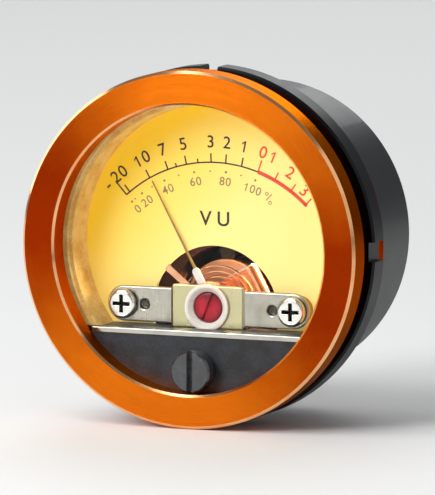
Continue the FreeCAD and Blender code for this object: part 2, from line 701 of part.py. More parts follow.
def make_skirt():
    """Black moulding below the window: front wall, rebate for the strip, notched ledge."""
    skirt = Piece("skirt")
    skirt.pad(lip_back, d.window_thickness, Circle(0, 0, d.stack_radius))
    above = box(-d.stack_radius, d.stack_radius, -d.skirt_drop, d.stack_radius * 2)
    skirt.pocket(lip_back, d.window_thickness, above)
    rebate = d.trim_thickness - d.trim_proud
    strip = box(-d.stack_radius, d.stack_radius, -d.skirt_drop - d.trim_height, -d.skirt_drop)
    skirt.pocket(lip_back, rebate, strip)
    inside = d.reflector_mouth - d.free_gap * 2
    low = d.skirt_drop + d.ledge_thickness
    top_half, low_half = half_chord(inside, d.skirt_drop), half_chord(inside, low)
    ledge = Polygon([
        (-top_half, -d.skirt_drop), (-low_half, -low), (low_half, -low), (top_half, -d.skirt_drop),
    ])
    ledge_back = dial_front - d.ledge_gap
    skirt.pad(window_back, ledge_back - window_back, ledge)
    notch_front = collar_front - d.free_gap * 2
    notch = box(-d.ledge_notch, d.ledge_notch, -low - d.free_gap, d.free_gap - d.skirt_drop)
    skirt.pocket(notch_front, ledge_back - notch_front, notch)
    hole = Circle(0, -d.zero_drop, d.zero_shank_radius + d.running_gap)
    skirt.pocket(lip_back, d.window_thickness, hole)


def make_skirt_trim():
    """Bright strip in the skirt's rebate, as wide as the bezel's opening lets in."""
    low = d.skirt_drop + d.trim_height
    half = half_chord(d.ring_bore - d.running_gap, low)
    Piece("skirt_trim").pad(lip_back - d.trim_proud, d.trim_thickness,
                            box(-half, half, -low, -d.skirt_drop))


def make_zero_screw():
    """Slotted adjuster that snaps into the skirt and ends in an eccentric pin."""
    axis = -d.zero_drop
    head_back = lip_back - d.running_gap * 2
    head_front = head_back - d.zero_head_thickness
    bevel = d.outer_bevel / 2
    barb = d.zero_shank_radius + d.zero_barb
    barb_front = window_back + d.running_gap
    shank_end = barb_front + d.zero_shank_radius
    screw = Piece("zero_screw")
    screw.turn([
        (0, head_front),
        (d.zero_head_radius - bevel, head_front),
        (d.zero_head_radius, head_front + bevel),
        (d.zero_head_radius, head_back),
        (d.zero_shank_radius, head_back),
        (d.zero_shank_radius, barb_front),
        (barb, barb_front),
        (d.zero_shank_radius, shank_end),
        (0, shank_end),
    ], up=axis)
    half = d.zero_slot_width / 2
    reach = d.zero_head_radius + d.free_gap
    screw.pocket(head_front, d.zero_slot_depth, box(-half, half, axis - reach, axis + reach))
    pin = Circle(0, axis + d.eccentric_throw, d.eccentric_radius)
    pin_root = shank_end - d.eccentric_radius
    screw.pad(pin_root, lever_back + d.free_gap * 2 - pin_root, pin)


# --------------------------------------------------------------------------------------
# Dial and its light
# --------------------------------------------------------------------------------------


def make_reflector_ring():
    """Cream ring between the window and the dial: a land, a step and a narrowing wall."""
    step = d.ring_bore - d.reflector_step
    land_back = window_back + d.reflector_lip
    Piece("reflector_ring").turn([
        (d.ring_bore, window_back),
        (d.stack_radius, window_back),
        (d.stack_radius, dial_front),
        (d.reflector_mouth, dial_front),
        (step, land_back),
        (d.ring_bore, land_back),
    ])


def make_dial_plate():
    """Dial with the round cut-out for the movement and a hole for each bridge pillar."""
    dial = Piece("dial_plate")
    dial.pad(dial_front, d.dial_thickness, Circle(0, 0, d.stack_radius))
    dial.pocket(
        dial_front, d.dial_thickness,
        Circle(0, -d.dial_cut_drop, d.dial_cut_radius),
        Circle(d.bridge_reach, -d.pivot_drop, d.pillar_hole),
        Circle(-d.bridge_reach, -d.pivot_drop, d.pillar_hole),
    )


def make_diffuser():
    """Milky disc that carries the dial and spreads the light behind it."""
    diffuser = Piece("diffuser")
    diffuser.pad(dial_back, d.diffuser_thickness, Circle(0, 0, d.stack_radius))
    diffuser.pocket(
        dial_back, d.diffuser_thickness,
        Circle(0, -d.dial_cut_drop, d.dial_cut_radius + d.diffuser_relief),
        Circle(d.bridge_reach, -d.pivot_drop, d.pillar_hole),
        Circle(-d.bridge_reach, -d.pivot_drop, d.pillar_hole),
    )


def make_lamp_board():
    """Segment-shaped circuit board above the yoke."""
    radius = d.lamp_board_radius
    board = Piece("lamp_board")
    board.pad(lamp_front, d.lamp_board_thickness, Circle(0, 0, radius))
    board.pocket(lamp_front, d.lamp_board_thickness,
                 box(-radius * 2, radius * 2, -radius * 2, d.lamp_board_edge))
    hole = d.lamp_screw_radius + d.free_gap
    pin_hole = d.lamp_pin_radius + d.press_gap
    board.pocket(
        lamp_front, d.lamp_board_thickness,
        Circle(d.lamp_post_reach, d.lamp_post_height, hole),
        Circle(-d.lamp_post_reach, d.lamp_post_height, hole),
        Circle(d.lamp_pin_spacing / 2, d.lamp_pin_level, pin_hole),
        Circle(-d.lamp_pin_spacing / 2, d.lamp_pin_level, pin_hole),
    )


def make_lamp_leds():
    """Three diodes on the front of the lamp board."""
    half, tall = d.led_width / 2, d.led_height / 2
    leds = Piece("lamp_leds")
    for across, level in ((size(0), d.led_level), (d.led_reach, d.led_level - d.led_step),
                          (-d.led_reach, d.led_level - d.led_step)):
        outline = box(across - half, across + half, level - tall, level + tall)
        leds.pad(lamp_front - d.led_thickness, d.led_thickness, outline)


def make_lamp_screws():
    """Two screws that hold the lamp board on the frame's posts."""
    head_front = lamp_front - d.lamp_screw_head_height
    Piece("lamp_screws").turn([
        (0, head_front),
        (d.lamp_screw_head, head_front),
        (d.lamp_screw_head, lamp_front),
        (d.lamp_screw_radius, lamp_front),
        (d.lamp_screw_radius, lamp_front + d.lamp_screw_length),
        (0, lamp_front + d.lamp_screw_length),
    ], across=d.lamp_post_reach, up=d.lamp_post_height).mirror()


def make_lamp_pins():
    """Two pins that carry the lamp supply out through the case back."""
    Piece("lamp_pins").turn(
        rod(d.lamp_pin_radius, lamp_front - d.free_gap * 3, case_end + d.lamp_pin_tail),
        across=d.lamp_pin_spacing / 2, up=d.lamp_pin_level,
    ).mirror()


# --------------------------------------------------------------------------------------
# Front bridge and what it carries
# --------------------------------------------------------------------------------------


def rim_at(plane, radius):
    """Give a test for the round edge of a radius that lies in the plane y = plane."""
    place, wide = plane.value, 2 * radius.value

    def is_rim(edge):
        flat = edge.BoundBox.YLength < 1e-6 and abs(edge.BoundBox.YMin - place) < 1e-6
        return flat and abs(edge.BoundBox.XLength - wide) < 1e-3

    return is_rim


def make_front_bridge():
    """Bar with round ends, a raised middle, the collar's bore, dowel holes and stop pegs."""
    end = d.bridge_end_radius
    bridge = Piece("front_bridge", drop=d.pivot_drop)
    bridge.pad(bridge_front, d.bridge_thickness,
               box(-d.bridge_reach, d.bridge_reach, -end, end))
    bridge.pad(bridge_front, d.bridge_thickness,
               Circle(d.bridge_reach, 0, end), Circle(-d.bridge_reach, 0, end))
    block_half, block_tall = d.bridge_block_half_width, d.bridge_block_half_height
    bridge.pad(block_front, bridge_back - block_front,
               box(-block_half, block_half, -block_tall, block_tall))
    bridge.pocket(
        block_front, bridge_back - block_front,
        Circle(0, 0, d.collar_sleeve + d.press_gap),
        Circle(d.bridge_reach, 0, d.bridge_screw_radius + d.free_gap),
        Circle(-d.bridge_reach, 0, d.bridge_screw_radius + d.free_gap),
    )
    bridge.pocket(
        bridge_front, d.bridge_hole_depth,
        Circle(d.bridge_hole_reach, 0, d.bridge_hole_radius),
        Circle(-d.bridge_hole_reach, 0, d.bridge_hole_radius),
    )
    across, up = d.stop_reach * sine(d.stop_angle), d.stop_reach * cosine(d.stop_angle)
    bridge.pad(bridge_back, weight_back - bridge_back,
               Circle(across, up, d.stop_radius), Circle(-across, up, d.stop_radius))


def make_bridge_screws():
    """Two cross-head screws with domed heads."""
    head_front = bridge_front - d.bridge_head_height
    shank_end = bridge_front + d.bridge_screw_length
    screws = Piece("bridge_screws", drop=d.pivot_drop)
    screws.turn([
        (0, head_front),
        (d.bridge_head_radius, head_front),
        (d.bridge_head_radius, bridge_front),
        (d.bridge_screw_radius, bridge_front),
        (d.bridge_screw_radius, shank_end),
        (0, shank_end),
    ], across=d.bridge_reach)
    screws.round_edges(d.bridge_head_round, rim_at(head_front, d.bridge_head_radius))
    recess = cross(d.bridge_reach, 0, d.cross_reach, d.cross_half_width)
    screws.pocket(head_front, d.cross_depth, recess).mirror()


def make_bridge_pillars():
    """Two pillars from the movement frame to the front bridge."""
    Piece("bridge_pillars", drop=d.pivot_drop).turn([
        (d.bridge_screw_radius + d.press_gap, bridge_back),
        (d.pillar_radius, bridge_back),
        (d.pillar_radius, frame_front),
        (d.pillar_stem_radius, frame_front),
        (d.pillar_stem_radius, frame_front + d.pillar_stem),
        (0, frame_front + d.pillar_stem),
        (0, bridge_front + d.bridge_screw_length + d.free_gap),
        (d.bridge_screw_radius + d.press_gap, bridge_front + d.bridge_screw_length + d.free_gap),
    ], across=d.bridge_reach).mirror()


def make_jewel_collar():
    """White collar: a rim in front of the bridge and a sleeve that the lever turns on."""
    seat = jewel_front + d.jewel_head_height
    Piece("jewel_collar", drop=d.pivot_drop).turn([
        (d.dish_radius, collar_front),
        (d.collar_radius, collar_front),
        (d.collar_radius, block_front),
        (d.collar_sleeve, block_front),
        (d.collar_sleeve, sleeve_end),
        (d.jewel_shank + d.press_gap, sleeve_end),
        (d.jewel_shank + d.press_gap, seat),
        (d.jewel_head_radius + d.press_gap, seat),
        (d.jewel_head_radius + d.press_gap, jewel_front),
    ])


def make_front_jewel_screw():
    """Red jewel screw with a slot in front and the pivot cup behind."""
    seat = jewel_front + d.jewel_head_height
    screw = Piece("front_jewel_screw", drop=d.pivot_drop)
    screw.turn([
        (0, jewel_front),
        (d.jewel_head_radius, jewel_front),
        (d.jewel_head_radius, seat),
        (d.jewel_shank, seat),
        (d.jewel_shank, sleeve_end),
        (d.cup_radius, sleeve_end),
        (0, sleeve_end - d.cup_depth),
    ])
    screw.round_edges(d.jewel_head_round, rim_at(jewel_front, d.jewel_head_radius))
    reach = d.jewel_head_radius + d.free_gap
    slot = bar_from_axis(d.jewel_slot_angle, -reach, reach, d.jewel_slot_width / 2)
    screw.pocket(jewel_front, d.jewel_slot_depth, slot)


def make_zero_lever():
    """Ring on the collar's sleeve, forked tail to the zero screw, finger for the hairspring."""
    lever = Piece("zero_lever", drop=d.pivot_drop)
    thick = d.lever_thickness
    hole = d.collar_sleeve + d.running_gap
    inside = (hole + d.lever_ring_radius) / 2
    lever.turn(washer(hole, d.lever_ring_radius, lever_front, lever_back))
    tail_half, fork_half = d.lever_tail_half_width, d.fork_half_width
    fork_start = fork_end - d.fork_length
    lever.pad(lever_front, thick, box(-tail_half, tail_half, -fork_start - tail_half, -inside))
    lever.pad(lever_front, thick, box(-fork_half, fork_half, -fork_end, -fork_start))
    slot_half = d.eccentric_radius + d.fork_gap
    lever.pocket(lever_front, thick,
                 box(-slot_half, slot_half, -fork_end - d.free_gap, -fork_start - tail_half))
    lever.pad(lever_front, thick,
              bar_from_axis(-d.finger_angle, inside, d.finger_reach + d.lever_arm_tail,
                            d.lever_arm_half_width))
    inner, outer = d.finger_reach - d.finger_half_width, d.finger_reach + d.finger_half_width
    lever.pad(lever_back, front_spring + d.spring_width + d.free_gap - lever_back,
              bar_from_axis(-d.finger_angle, inner, outer, d.finger_half_width))


# --------------------------------------------------------------------------------------
# Moving element: the angle is set once, by the body's placement
# --------------------------------------------------------------------------------------


def rotor_piece(label):
    """A body that stands on the pointer axis, turned to the angle at rest."""
    return Piece(label, drop=d.pivot_drop, turn=d.rest_angle)


def make_pointer():
    """Thin tapered blade between the pointer cross and the dial."""
    root_half, tip_half = d.pointer_root_half_width, d.pointer_tip_half_width
    rotor_piece("pointer").pad(pointer_front, d.pointer_thickness, Polygon([
        (-root_half, d.pointer_root), (root_half, d.pointer_root),
        (tip_half, d.pointer_length), (-tip_half, d.pointer_length),
    ]))


def make_pointer_cross():
    """Hub on the front pivot with a wide front arm, two side arms and a tail arm."""
    piece = rotor_piece("pointer_cross")
    bore = d.pivot_radius + d.press_gap
    inside = (bore + d.hub_radius) / 2
    half, thick = d.arm_half_width, d.arm_thickness
    piece.turn(washer(bore, d.hub_radius, hub_front, hub_back))
    wide, tip = d.front_arm_half_width, d.front_arm_length - d.front_arm_half_width
    piece.pad(arm_front, thick, box(-wide, wide, inside, tip))
    piece.pad(arm_front, thick, Circle(0, tip, wide))
    piece.pad(arm_front, thick, box(inside, d.side_arm_length, -half, half))
    piece.pad(arm_front, thick, box(-d.side_arm_length, -inside, -half, half))
    piece.pad(arm_front, thick, box(-half, half, -d.tail_arm_length, -inside))


def make_balance_weights():
    """A sleeve on each side arm and a longer one on the tail arm."""
    gap = d.press_gap
    half, low, high = d.arm_half_width + gap, arm_front - gap, pointer_front + gap
    side_start = d.side_arm_length - d.weight_inset - d.side_weight_length
    tail_start = d.weight_inset - d.tail_arm_length
    weights = rotor_piece("balance_weights")
    side_hole = box(low, high, -half, half)
    for start in (side_start, -side_start - d.side_weight_length):
        weights.pad_side(start, d.side_weight_length,
                         Circle(arm_middle, 0, d.weight_radius), side_hole)
    weights.pad_across(tail_start, d.tail_weight_length,
                       Circle(0, arm_middle, d.weight_radius), box(-half, half, low, high))


def make_pivot_pins():
    """Front and rear pivots, each with a foot on the coil."""
    front_tip = sleeve_end - d.cup_depth + d.pivot_shake
    rear_tip = rear_screw_front + d.cup_depth - d.pivot_shake
    pins = rotor_piece("pivot_pins")
    for tip, foot, coil, sign in ((front_tip, foot_front, coil_front, 1),
                                  (rear_tip, foot_back, coil_back, -1)):
        pins.turn([
            (0, tip),
            (d.pivot_radius, tip + d.pivot_taper * sign),
            (d.pivot_radius, foot),
            (d.pivot_base_radius, foot),
            (d.pivot_base_radius, coil),
            (0, coil),
        ])


def make_coil_loop(label, inner_span, front, back, wall, width, corner):
    """A rectangular loop with round corners that encloses the core magnet."""
    outer = RoundedBox(-inner_span - wall, inner_span + wall, front, back, corner + wall)
    hole = RoundedBox(-inner_span, inner_span, front + wall, back - wall, corner)
    rotor_piece(label).pad_flat(width, outer, hole)


def make_coil_frame():
    """Thin metal former of the coil."""
    make_coil_loop("coil_frame", d.coil_inner_span, former_front, former_back, d.coil_former,
                   d.coil_former_width, d.coil_corner)


def make_coil_winding():
    """Copper winding round the former."""
    make_coil_loop("coil_winding", d.coil_inner_span + d.coil_former, coil_front, coil_back,
                   d.coil_winding_depth, d.coil_winding_width, d.coil_corner + d.coil_former)


def make_rear_collet():
    """Collet on the rear pivot that holds the inner end of the rear hairspring."""
    rotor_piece("rear_collet").turn(
        washer(d.pivot_radius + d.press_gap, d.hub_radius,
               foot_back + d.free_gap, rear_spring_end + d.free_gap))


def spiral_strip(start, outer_y, inner_y):
    """A flat strip wound in a spiral, from its outer end at an angle off vertical."""
    turns, points_per_turn = d.spring_turns.value, 24
    count = int(round(turns * points_per_turn))
    path = []
    for step in range(count + 1):
        share = step / count
        radius = spring_outer.value + (spring_inner.value - spring_outer.value) * share
        angle = math.radians(start + 360 * turns * share)
        y = outer_y + (inner_y - outer_y) * share
        path.append(FreeCAD.Vector(radius * math.sin(angle), y, radius * math.cos(angle)))
    curve = Part.BSplineCurve()
    curve.interpolate(path)
    first = path[0]
    outward = FreeCAD.Vector(first.x, 0, first.z).normalize() * (d.spring_thickness.value / 2)
    along = FreeCAD.Vector(0, d.spring_width.value, 0)
    corners = [first - outward, first + outward, first + outward + along, first - outward + along]
    section = Part.makePolygon(corners + corners[:1])
    sweep = Part.BRepOffsetAPI.MakePipeShell(Part.Wire(curve.toShape()))
    sweep.setBiNormalMode(FreeCAD.Vector(0, 1, 0))
    sweep.add(section)
    sweep.build()
    sweep.makeSolid()
    return sweep.shape()


def make_hairspring(label, start, outer_y, inner_y):
    """A hairspring: a spiral sweep has no primitive, so its shape is set directly."""
    spring = doc.addObject("Part::Feature", label)
    spring.Label = label
    spring.Shape = spiral_strip(start.value, outer_y.value, inner_y.value)
    spring.Placement = FreeCAD.Placement(
        FreeCAD.Vector(0, 0, -d.pivot_drop.value), FreeCAD.Rotation())
    PARTS.append(spring)


def make_hairsprings():
    """Front spring on the zero lever, rear spring on the rear bridge."""
    make_hairspring("front_hairspring", -d.finger_angle, front_spring,
                    front_spring + d.spring_rise)
    make_hairspring("rear_hairspring", d.rear_post_angle, rear_spring + d.spring_rise, rear_spring)


# --------------------------------------------------------------------------------------
# Magnet system, movement frame and rear bridge
# --------------------------------------------------------------------------------------


def make_core_magnet():
    """Cylindrical magnet inside the coil."""
    core = Piece("core_magnet", drop=d.pivot_drop)
    core.turn(rod(d.core_radius, core_front, core_back))


def make_core_spacers():
    """Two sectors, top and bottom, that hold the core in the yoke."""
    inner, outer = d.core_radius + d.press_gap, d.yoke_bore - d.press_gap
    spacers = Piece("core_spacers", drop=d.pivot_drop, turn=90)
    spacers.turn(
        washer(inner, outer, core_front + d.spacer_inset, core_back - d.spacer_inset),
        angle=d.spacer_angle,
    ).mirror()


def make_yoke_ring():
    """Soft iron ring that closes the magnetic circuit."""
    yoke = Piece("yoke_ring", drop=d.pivot_drop)
    yoke.turn(washer(d.yoke_bore, d.yoke_radius, yoke_front, frame_front))
    middle = d.yoke_bore + d.yoke_wall / 2
    hole = d.yoke_screw_radius + d.press_gap
    yoke.pocket(frame_front - d.yoke_screw_depth - d.free_gap, d.yoke_screw_depth + d.free_gap,
                Circle(0, middle, hole), Circle(0, -middle, hole))


def make_yoke_screws():
    """Two screws through the frame plate into the yoke."""
    middle = d.yoke_bore + d.yoke_wall / 2
    head_back = frame_back + d.yoke_screw_head_height
    Piece("yoke_screws", drop=d.pivot_drop).turn([
        (0, frame_front - d.yoke_screw_depth),
        (d.yoke_screw_radius, frame_front - d.yoke_screw_depth),
        (d.yoke_screw_radius, frame_back),
        (d.yoke_screw_head, frame_back),
        (d.yoke_screw_head, head_back),
        (0, head_back),
    ], up=middle).mirror("XY_Plane")


def make_movement_frame():
    """Moulded plate behind the yoke with posts for the lamp board, studs and rear bridge."""
    frame = Piece("movement_frame")
    frame.pad(frame_front, d.frame_thickness, Circle(0, 0, d.case_bore - d.frame_gap))
    post = d.lamp_post_radius
    frame.pad(lamp_back, frame_front - lamp_back,
              Circle(d.lamp_post_reach, d.lamp_post_height, post),
              Circle(-d.lamp_post_reach, d.lamp_post_height, post))
    boss = d.stud_boss_radius
    frame.pad(frame_back, case_inner_back - frame_back,
              Circle(d.stud_reach, d.stud_height, boss),
              Circle(-d.stud_reach, d.stud_height, boss))
    foot = d.rear_bridge_half_height
    frame.pad(frame_back, rear_bridge_front - frame_back,
              Circle(d.bridge_reach, -d.pivot_drop, foot),
              Circle(-d.bridge_reach, -d.pivot_drop, foot))
    frame.pocket(frame_front, d.frame_thickness,
                 Circle(0, -d.pivot_drop, d.yoke_bore + d.frame_bore_gap))
    stem = d.pillar_stem_radius + d.press_gap
    frame.pocket(frame_front, d.pillar_stem + d.free_gap,
                 Circle(d.bridge_reach, -d.pivot_drop, stem),
                 Circle(-d.bridge_reach, -d.pivot_drop, stem))
    middle = d.yoke_bore + d.yoke_wall / 2
    screw = d.yoke_screw_radius + d.free_gap
    pin = d.lamp_pin_radius + d.free_gap
    frame.pocket(frame_front, d.frame_thickness,
                 Circle(0, middle - d.pivot_drop, screw),
                 Circle(0, -middle - d.pivot_drop, screw),
                 Circle(d.lamp_pin_spacing / 2, d.lamp_pin_level, pin),
                 Circle(-d.lamp_pin_spacing / 2, d.lamp_pin_level, pin))
    lamp_hole = d.lamp_screw_radius + d.press_gap
    lamp_hole_end = lamp_front + d.lamp_screw_length + d.free_gap
    frame.pocket(lamp_back, lamp_hole_end - lamp_back,
                 Circle(d.lamp_post_reach, d.lamp_post_height, lamp_hole),
                 Circle(-d.lamp_post_reach, d.lamp_post_height, lamp_hole))
    stud_front = frame_front + d.stud_root
    stud = d.stud_radius + d.press_gap
    frame.pocket(stud_front, case_inner_back - stud_front,
                 Circle(d.stud_reach, d.stud_height, stud),
                 Circle(-d.stud_reach, d.stud_height, stud))
    rear_hole_front = frame_back - d.rear_shank_depth - d.free_gap
    rear_hole = d.bridge_screw_radius + d.press_gap
    frame.pocket(rear_hole_front, rear_bridge_front - rear_hole_front,
                 Circle(d.bridge_reach, -d.pivot_drop, rear_hole),
                 Circle(-d.bridge_reach, -d.pivot_drop, rear_hole))


def make_rear_bridge():
    """Bar across the back of the frame with a post for the rear hairspring."""
    end = d.rear_bridge_half_height
    bridge = Piece("rear_bridge", drop=d.pivot_drop)
    bridge.pad(rear_bridge_front, d.rear_bridge_thickness,
               box(-d.bridge_reach, d.bridge_reach, -end, end))
    bridge.pad(rear_bridge_front, d.rear_bridge_thickness,
               Circle(d.bridge_reach, 0, end), Circle(-d.bridge_reach, 0, end))
    post_front = rear_spring + d.spring_rise - d.free_gap
    inner = d.finger_reach - d.finger_half_width
    outer = d.finger_reach + d.finger_half_width
    bridge.pad(post_front, rear_bridge_front - post_front,
               bar_from_axis(d.rear_post_angle, inner, outer, d.finger_half_width))
    bridge.pocket(
        rear_bridge_front, d.rear_bridge_thickness,
        Circle(0, 0, d.jewel_shank + d.press_gap),
        Circle(d.bridge_reach, 0, d.bridge_screw_radius + d.free_gap),
        Circle(-d.bridge_reach, 0, d.bridge_screw_radius + d.free_gap),
    )


def make_rear_bridge_screws():
    """Two slotted screws that hold the rear bridge on the frame."""
    head_back = rear_bridge_back + d.rear_head_height
    tip = frame_back - d.rear_shank_depth
    screws = Piece("rear_bridge_screws", drop=d.pivot_drop)
    screws.turn([
        (0, tip),
        (d.bridge_screw_radius, tip),
        (d.bridge_screw_radius, rear_bridge_back),
        (d.rear_head_radius, rear_bridge_back),
        (d.rear_head_radius, head_back),
        (0, head_back),
    ], across=d.bridge_reach)
    half = d.jewel_slot_width / 2
    reach = d.rear_head_radius + d.free_gap
    slot = box(d.bridge_reach - half, d.bridge_reach + half, -reach, reach)
    screws.pocket(head_back - d.jewel_slot_depth, d.jewel_slot_depth, slot).mirror()


def make_rear_jewel_screw():
    """Rear jewel screw: cup in front, slot behind."""
    screw_end = rear_bridge_back + d.rear_screw_tail
    screw = Piece("rear_jewel_screw", drop=d.pivot_drop)
    screw.turn([
        (d.cup_radius, rear_screw_front),
        (d.jewel_shank, rear_screw_front),
        (d.jewel_shank, screw_end),
        (0, screw_end),
        (0, rear_screw_front + d.cup_depth),
    ])
    half, reach = d.jewel_slot_width / 2, d.jewel_shank + d.free_gap
    screw.pocket(screw_end - d.jewel_slot_depth, d.jewel_slot_depth,
                 box(-half, half, -reach, reach))


def make_rear_jewel_nut():
    """Lock nut of the rear jewel screw."""
    nut = Piece("rear_jewel_nut", drop=d.pivot_drop)
    nut.pad(rear_bridge_back, d.rear_nut_thickness, hexagon(0, 0, d.rear_nut_flat))
    hole = Circle(0, 0, d.jewel_shank + d.press_gap)
    nut.pocket(rear_bridge_back, d.rear_nut_thickness, hole)


# --------------------------------------------------------------------------------------
# Case and terminals
# --------------------------------------------------------------------------------------


def make_case_body():
    """Round can with a collar in front that the retaining ring holds in the bezel."""
    case = Piece("case_body")
    case.turn([
        (d.case_bore, diffuser_back),
        (d.stack_radius, diffuser_back),
        (d.stack_radius, collar_back),
        (d.case_radius, collar_back),
        (d.case_radius, case_end - d.case_bevel),
        (d.case_radius - d.case_bevel, case_end),
        (0, case_end),
        (0, case_inner_back),
        (d.case_bore, case_inner_back),
    ])
    stud = d.stud_radius + d.free_gap
    pin = d.lamp_pin_radius + d.free_gap
    case.pocket(case_inner_back, d.case_back,
                Circle(d.stud_reach, d.stud_height, stud),
                Circle(-d.stud_reach, d.stud_height, stud),
                Circle(d.lamp_pin_spacing / 2, d.lamp_pin_level, pin),
                Circle(-d.lamp_pin_spacing / 2, d.lamp_pin_level, pin))
    level, half = d.stud_height - d.sign_drop, d.sign_half_width
    case.pocket(case_end - d.sign_depth, d.sign_depth,
                cross(-d.stud_reach, level, d.sign_reach, half),
                box(d.stud_reach - d.sign_reach, d.stud_reach + d.sign_reach,
                    level - half, level + half))


def make_retaining_ring():
    """Open spring ring in the spigot's groove."""
    inner = d.case_radius + d.free_gap
    outer = d.spigot_bore + d.groove_depth - d.clip_clearance
    clip_back = collar_back + d.clip_thickness
    clip = Piece("retaining_ring").turn(washer(inner, outer, collar_back, clip_back))
    half = d.clip_gap / 2
    clip.pocket(collar_back, d.clip_thickness, box(-half, half, -outer * 2, -inner / 2))


def make_terminal_studs():
    """Two threaded studs moulded in the frame; their nuts hold the case on."""
    Piece("terminal_studs").turn(
        rod(d.stud_radius, frame_front + d.stud_root, stud_end),
        across=d.stud_reach, up=d.stud_height,
    ).mirror()


def make_terminal_washers():
    """A plain washer on each stud."""
    Piece("terminal_washers").turn(
        washer(d.stud_radius + d.free_gap, d.washer_radius, case_end, washer_back),
        across=d.stud_reach, up=d.stud_height,
    ).mirror()


def make_terminal_nuts():
    """Two nuts on each stud, one below and one above the solder tag."""
    nuts = Piece("terminal_nuts")
    outline = hexagon(d.stud_reach, d.stud_height, d.terminal_nut_flat)
    hole = Circle(d.stud_reach, d.stud_height, d.stud_radius + d.press_gap)
    nuts.pad(washer_back, d.terminal_nut_thickness, outline, hole)
    nuts.pad(tag_back, d.terminal_nut_thickness, outline, hole)
    nuts.mirror()


def make_solder_tags():
    """A flat tag with an eye on each stud."""
    tags = Piece("solder_tags")
    thick = d.washer_thickness
    eye_level = d.stud_height + d.tag_length
    tags.pad(first_nut_back, thick, Circle(d.stud_reach, d.stud_height, d.washer_radius))
    tags.pad(first_nut_back, thick,
             box(d.stud_reach - d.tag_half_width, d.stud_reach + d.tag_half_width,
                 d.stud_height, eye_level))
    tags.pad(first_nut_back, thick, Circle(d.stud_reach, eye_level, d.tag_half_width))
    tags.pocket(first_nut_back, thick,
                Circle(d.stud_reach, d.stud_height, d.stud_radius + d.free_gap),
                Circle(d.stud_reach, eye_level, d.tag_eye))
    tags.mirror()


BUILDERS = (
    make_bezel_ring, make_clamp_nut, make_window, make_skirt, make_skirt_trim, make_zero_screw,
    make_reflector_ring, make_dial_plate, make_diffuser, make_lamp_board, make_lamp_leds,
    make_lamp_screws, make_lamp_pins, make_front_bridge, make_bridge_screws,
    make_bridge_pillars, make_jewel_collar, make_front_jewel_screw, make_zero_lever,
    make_pointer, make_pointer_cross, make_balance_weights, make_pivot_pins, make_coil_frame,
    make_coil_winding, make_rear_collet, make_hairsprings, make_core_magnet, make_core_spacers,
    make_yoke_ring, make_yoke_screws, make_movement_frame, make_rear_bridge,
    make_rear_bridge_screws, make_rear_jewel_screw, make_rear_jewel_nut, make_case_body,
    make_retaining_ring, make_terminal_studs, make_terminal_washers, make_terminal_nuts,
    make_solder_tags,
)


def check_document():
    """Stop on a failed object or an unusable shape."""
    for item in doc.Objects:
        if "Invalid" in item.State or "Error" in item.State:
            raise RuntimeError(f"{item.Name} failed: {item.State}")
    for part in PARTS:
        if part.Shape.isNull() or not part.Shape.isValid() or not part.Shape.Solids:
            raise RuntimeError(f"{part.Label} has no valid solid")


def export_parts():
    """Write each sub-part to its own STEP file."""
    os.makedirs("parts", exist_ok=True)
    for part in PARTS:
        part.Shape.exportStep(f"parts/{part.Label}.step")
        print(f"{part.Label}: {len(part.Shape.Solids)} solids, {part.Shape.Volume:.3f} mm3")


for build in BUILDERS:
    build()
doc.recompute()
check_document()
export_parts()
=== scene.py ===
"""Looks of a panel VU meter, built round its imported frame.

The classes hold sizes in millimetres and degrees, and MM turns them into Blender's metres. The
axes are those of the CAD: +Z is up, the dial faces -Y, +X is to the right, and y = 0 is the front
of the panel.
"""

from __future__ import annotations

import logging
import math
from collections.abc import Callable, Iterable, Sequence
from dataclasses import dataclass, field
from enum import Enum
from functools import cache
from typing import NamedTuple

import bmesh
import bpy
from mathutils import Matrix, Vector


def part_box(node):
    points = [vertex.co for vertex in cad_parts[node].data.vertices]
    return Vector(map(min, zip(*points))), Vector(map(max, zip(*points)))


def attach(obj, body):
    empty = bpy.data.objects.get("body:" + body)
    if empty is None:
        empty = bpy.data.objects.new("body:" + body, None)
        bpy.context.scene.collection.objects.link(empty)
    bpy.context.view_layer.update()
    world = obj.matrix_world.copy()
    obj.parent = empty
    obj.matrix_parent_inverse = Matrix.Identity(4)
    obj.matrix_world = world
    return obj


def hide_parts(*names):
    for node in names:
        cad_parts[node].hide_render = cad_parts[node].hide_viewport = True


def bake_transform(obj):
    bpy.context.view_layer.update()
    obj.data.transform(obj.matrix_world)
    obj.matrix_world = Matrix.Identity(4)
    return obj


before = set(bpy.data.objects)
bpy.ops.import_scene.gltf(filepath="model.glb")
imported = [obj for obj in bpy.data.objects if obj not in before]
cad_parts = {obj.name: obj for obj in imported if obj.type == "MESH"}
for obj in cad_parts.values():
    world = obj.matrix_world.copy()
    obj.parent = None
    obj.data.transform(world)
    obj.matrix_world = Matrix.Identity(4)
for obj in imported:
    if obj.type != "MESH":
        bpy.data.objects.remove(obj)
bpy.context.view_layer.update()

MM = 1e-3
log = logging.getLogger("vu_meter")

Point = tuple[float, float]
Colour = tuple[float, float, float, float]


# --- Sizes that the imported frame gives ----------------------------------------


class Span(NamedTuple):
    """The box of a node of the frame, in millimetres."""

    left: float
    front: float
    low: float
    right: float
    back: float
    high: float

    @property
    def centre(self) -> Point:
        """Middle of the box across and up."""
        return (self.left + self.right) / 2, (self.low + self.high) / 2

    @property
    def half_width(self) -> float:
        """Half of the box's width."""
        return (self.right - self.left) / 2


def span(node: str) -> Span:
    """Read the box of a node.

    Args:
        node: Name of a node of the frame.

    Returns:
        Its box in millimetres.
    """
    low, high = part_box(node)
    return Span(*(value / MM for value in (*low, *high)))


